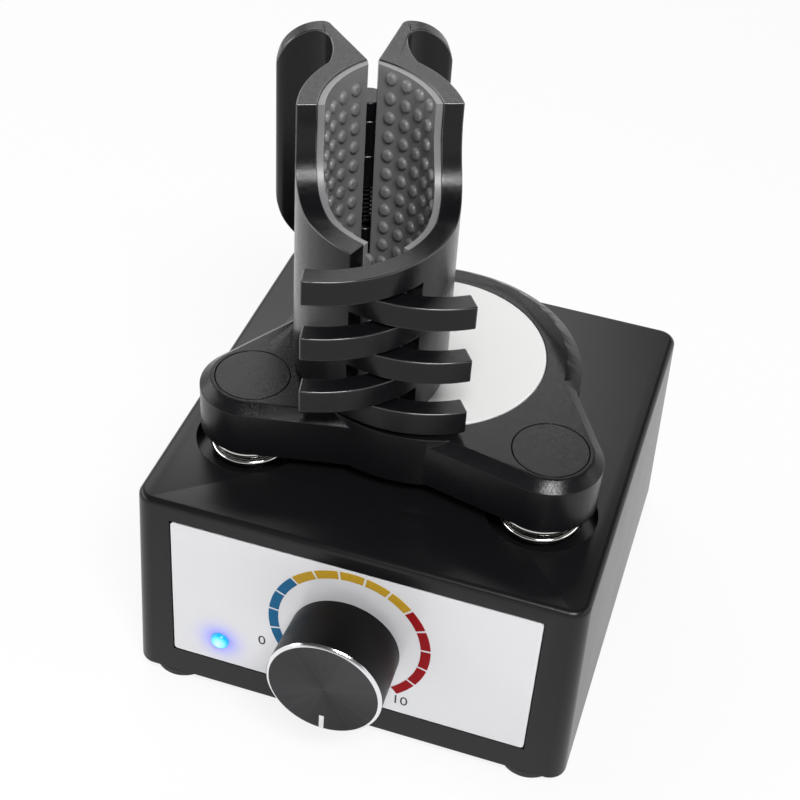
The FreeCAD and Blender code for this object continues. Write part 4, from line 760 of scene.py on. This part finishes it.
class SHAKER_OT_springs(bpy.types.Operator):
    """Build the three coil springs as smooth round wire"""
    bl_idname = "shaker.springs"
    bl_label = "Springs"

    def execute(self, context):
        for side in ("left", "right", "rear"):
            node = "spring_" + side
            low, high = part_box(node)
            wire = SPRING_WIRE * MM
            rise = (high.z - low.z - 2 * wire) / SPRING_TURNS
            centre = Vector(((low.x + high.x) / 2, (low.y + high.y) / 2, low.z + wire))
            bm = bmesh.new()
            loop = bmesh.ops.create_circle(bm, segments=14, radius=wire)["verts"]
            bmesh.ops.rotate(bm, verts=loop, matrix=Matrix.Rotation(math.pi / 2, 3, "X"))
            bmesh.ops.translate(bm, verts=loop, vec=(SPRING_RADIUS * MM, 0, 0))
            bmesh.ops.contextual_create(bm, geom=bm.edges[:])
            bmesh.ops.spin(bm, geom=bm.faces[:], cent=(0, 0, 0), axis=(0, 0, 1), use_duplicate=False,
                           dvec=(0, 0, rise / STEPS_PER_TURN), angle=math.tau * SPRING_TURNS,
                           steps=round(STEPS_PER_TURN * SPRING_TURNS))
            keep(side + "_spring", mesh_of(side, bm, Matrix.Translation(centre)), "base", "spring_chrome",
                 stands_for=(node,), crease=math.radians(60))
        return {"FINISHED"}


class SHAKER_OT_jaws(bpy.types.Operator):
    """Build the two jaws with their fingers and thumb wings, and the pin's cap"""
    bl_idname = "shaker.jaws"
    bl_label = "Jaws"

    def execute(self, context):
        for side in ("left", "right"):
            # The rounded edges of the jaws get a lighter, glossier black: painted highlight lines along them.
            taken_over(side + "_jaw", side + "_grip", side + "_jaw", "clamp_black",
                       sizes().clamp_edge, "clamp_edge", held=False)
        taken_over("hinge_cap", "pin_cap", "platform", "clamp_black", sizes().edge)
        taken_over("hinge_pin", "pin", "platform", "steel", sizes().small_edge)
        return {"FINISHED"}


class SHAKER_OT_pads(bpy.types.Operator):
    """Build the silicone pads with their soft lips and rows of round bumps"""
    bl_idname = "shaker.pads"
    bl_label = "Silicone pads"

    def execute(self, context):
        bump = self.bump()
        for side, way in (("left", 1), ("right", -1)):
            # The rounded lips get a paler, glossier silicone: a painted highlight line.
            taken_over(side + "_pad", side + "_lining", side + "_jaw", "silicone_grey",
                       0.5 * MM, "silicone_lip_highlight")
            bm = bmesh.new()
            for column in range(PAD_COLUMNS):
                angle = math.radians(FIRST_COLUMNS[side]) + way * column * sizes().bump_turn
                self.column(bm, bump, side, way * PAD_CENTRE, angle)
            keep(side + "_bumps", mesh_of(side, bm, CLAMP_PLACE), side + "_jaw", "silicone_grey",
                 crease=math.radians(80))
        return {"FINISHED"}

    def bump(self):
        """One bump, a low round button with a soft edge, half of it under the pad's face."""
        bm = bmesh.new()
        half, height = sizes().bump_width / 2, sizes().bump_height
        bmesh.ops.create_cone(bm, cap_ends=True, segments=sizes().bump_sides, radius1=half,
                              radius2=0.84 * half, depth=2 * height)
        top = [edge for edge in bm.edges if all(vertex.co.z > 0 for vertex in edge.verts)]
        bmesh.ops.bevel(bm, geom=top, offset=0.3 * half, affect="EDGES", segments=3, profile=0.5,
                        material=-1)
        return mesh_of("bump", bm)

    def column(self, bm, bump, side, centre_x, angle):
        """One upright column of bumps on a pad."""
        reach = PAD_RADIUS - BUMP_SINK
        x, y = centre_x + reach * math.cos(angle), PAD_FORWARD + reach * math.sin(angle)
        height = TOP_BUMPS[side]
        while height > PAD_FLOOR:
            if self.covered(y, height, PAD_RIMS[side]):
                spot = Matrix.Translation((x * MM, y * MM, height * MM))
                facing = Matrix.Rotation(angle, 4, "Z") @ Matrix.Rotation(-math.pi / 2, 4, "Y")
                known = len(bm.verts)
                bm.from_mesh(bump)
                bmesh.ops.transform(bm, matrix=spot @ facing, verts=bm.verts[known:])
            height -= sizes().bump_pitch / MM

    def covered(self, y, height, rim):
        """Whether the pad has room for a bump there, under its rim and behind its hollow front."""
        hollow_y, hollow_height = PAD_EDGE - PAD_HOLLOW, rim + PAD_HOLLOW
        if y > PAD_EDGE + BUMP_ROOM or height < rim - BUMP_ROOM and y < hollow_y:
            return True
        clear = math.hypot(y - hollow_y, height - hollow_height) > PAD_HOLLOW + BUMP_ROOM
        return y > hollow_y and height < hollow_height and clear


class SHAKER_OT_works(bpy.types.Operator):
    """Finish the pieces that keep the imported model's own shape"""
    bl_idname = "shaker.works"
    bl_label = "Works"

    def execute(self, context):
        for name, node in frame["nodes"].items():
            for slot in node.material_slots:
                if slot.material and slot.material.name in SLOTS:
                    slot.material = finish("dark_steel" if name == "torsion_spring" else slot.material.name)
        return {"FINISHED"}


class SHAKER_OT_stage(bpy.types.Operator):
    """Set up the floor, the soft lamps, the surroundings and the camera"""
    bl_idname = "shaker.stage"
    bl_label = "Stage"

    def execute(self, context):
        self.floor()
        self.surroundings()
        for name, place, width, depth, power in LAMPS:
            self.lamp(name, place, width, depth, power)
        self.camera()
        return {"FINISHED"}

    def floor(self):
        bm = bmesh.new()
        bmesh.ops.create_grid(bm, x_segments=8, y_segments=8, size=sizes().floor_width / 2)
        mesh = bpy.data.meshes.new("floor")
        bm.to_mesh(mesh)
        bm.free()
        base = tuple(colours().floor)
        made = Finish("Pale floor", base, 0.6, Specular_IOR_Level=0.2)
        out = made.group(grain_group(), Size=0.01, Roughness=0.6, Spread=0.05)
        made.feed(out["Roughness"], "Roughness")
        tree = made.tree
        glow = tree.nodes.new("ShaderNodeEmission")
        mix = tree.nodes.new("ShaderNodeMixShader")
        tree.links.new(maths(tree, "MULTIPLY", seen_rays(tree), 0.85), mix.inputs["Fac"])
        tree.links.new(made.shader.outputs[0], mix.inputs[1])
        tree.links.new(glow.outputs[0], mix.inputs[2])
        tree.links.new(mix.outputs[0], tree.nodes["Material Output"].inputs["Surface"])
        mesh.materials.append(made.material)
        floor = bpy.data.objects.new("floor", mesh)
        bpy.context.scene.collection.objects.link(floor)

    def surroundings(self):
        """A soft dome: white round the horizon where it is seen or mirrored, and plain as light."""
        world = bpy.data.worlds.new("Studio")
        world.use_nodes = True
        tree = world.node_tree
        split = tree.nodes.new("ShaderNodeSeparateXYZ")
        tree.links.new(tree.nodes.new("ShaderNodeTexCoord").outputs["Generated"], split.inputs[0])
        low = tree.nodes.new("ShaderNodeMapRange")
        tree.links.new(split.outputs["Z"], low.inputs["Value"])
        for label, value in (("From Min", 0.2), ("From Max", 0.5), ("To Min", 0.83), ("To Max", -0.1)):
            low.inputs[label].default_value = value
        tree.links.new(maths(tree, "MULTIPLY_ADD", seen_rays(tree), low.outputs["Result"], 0.17),
                       tree.nodes["Background"].inputs["Strength"])
        tree.nodes["Background"].inputs["Color"].default_value = (1.0, 1.0, 1.0, 1.0)
        bpy.context.scene.world = world

    def lamp(self, name, place, width, depth, power):
        """A soft rectangular lamp that looks at the model."""
        light = bpy.data.lights.new(name, "AREA")
        light.shape = "RECTANGLE"
        light.size = width
        light.size_y = depth
        light.energy = power
        lamp = bpy.data.objects.new(name, light)
        lamp.matrix_world = axes(place, Vector(place) - Vector(LAMP_TARGET))
        bpy.context.scene.collection.objects.link(lamp)

    def camera(self):
        """The photograph's view: its bearing, height, roll, distance and lens."""
        bearing, lift = math.radians(CAMERA_BEARING), math.radians(CAMERA_LIFT)
        back = Vector((math.sin(bearing) * math.cos(lift), -math.cos(bearing) * math.cos(lift),
                       math.sin(lift)))
        lens = bpy.data.cameras.new("Camera")
        lens.sensor_width = CAMERA_SENSOR
        lens.lens = CAMERA_LENS
        lens.clip_start = 0.01
        camera = bpy.data.objects.new("Camera", lens)
        place = axes((0, 0, 0), back) @ Matrix.Rotation(math.radians(CAMERA_ROLL), 4, "Z")
        place.translation = (Vector(CAMERA_TARGET) + back * CAMERA_DISTANCE) * MM
        camera.matrix_world = place
        bpy.context.scene.collection.objects.link(camera)
        bpy.context.scene.camera = camera
        bpy.context.scene.view_settings.view_transform = "Standard"


def seen_rays(tree):
    """One for camera, glossy and transmission rays, and none for the rest."""
    path = tree.nodes.new("ShaderNodeLightPath")
    mirrored = maths(tree, "MAXIMUM", path.outputs["Is Glossy Ray"], path.outputs["Is Transmission Ray"])
    return maths(tree, "MAXIMUM", path.outputs["Is Camera Ray"], mirrored)


PIECES = (SHAKER_OT_works, SHAKER_OT_case, SHAKER_OT_front, SHAKER_OT_lamp, SHAKER_OT_knob,
          SHAKER_OT_platform, SHAKER_OT_springs, SHAKER_OT_jaws, SHAKER_OT_pads, SHAKER_OT_stage)


class SHAKER_PT_pieces(bpy.types.Panel):
    """The settings and the operators, in the 3D view's sidebar"""
    bl_label = "Nail polish shaker"
    bl_space_type = "VIEW_3D"
    bl_region_type = "UI"
    bl_category = "Shaker"

    def draw(self, context):
        for group in (context.scene.shaker_sizes, context.scene.shaker_colours):
            column = self.layout.column()
            for setting in group.bl_rna.properties.keys():
                if setting not in ("rna_type", "name"):
                    column.prop(group, setting)
        for operator in PIECES:
            self.layout.operator(operator.bl_idname)


CLASSES = (ShakerSizes, ShakerColours, *PIECES, SHAKER_PT_pieces)


def register():
    for made in CLASSES:
        bpy.utils.register_class(made)
    bpy.types.Scene.shaker_sizes = PointerProperty(type=ShakerSizes)
    bpy.types.Scene.shaker_colours = PointerProperty(type=ShakerColours)


def unregister():
    del bpy.types.Scene.shaker_colours
    del bpy.types.Scene.shaker_sizes
    for made in reversed(CLASSES):
        bpy.utils.unregister_class(made)


def main():
    """Register the add-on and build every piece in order."""
    register()
    bpy.ops.shaker.works()
    bpy.ops.shaker.case()
    bpy.ops.shaker.front()
    bpy.ops.shaker.lamp()
    bpy.ops.shaker.knob()
    bpy.ops.shaker.platform()
    bpy.ops.shaker.springs()
    bpy.ops.shaker.jaws()
    bpy.ops.shaker.pads()
    bpy.ops.shaker.stage()


if __name__ == "__main__":
    main()
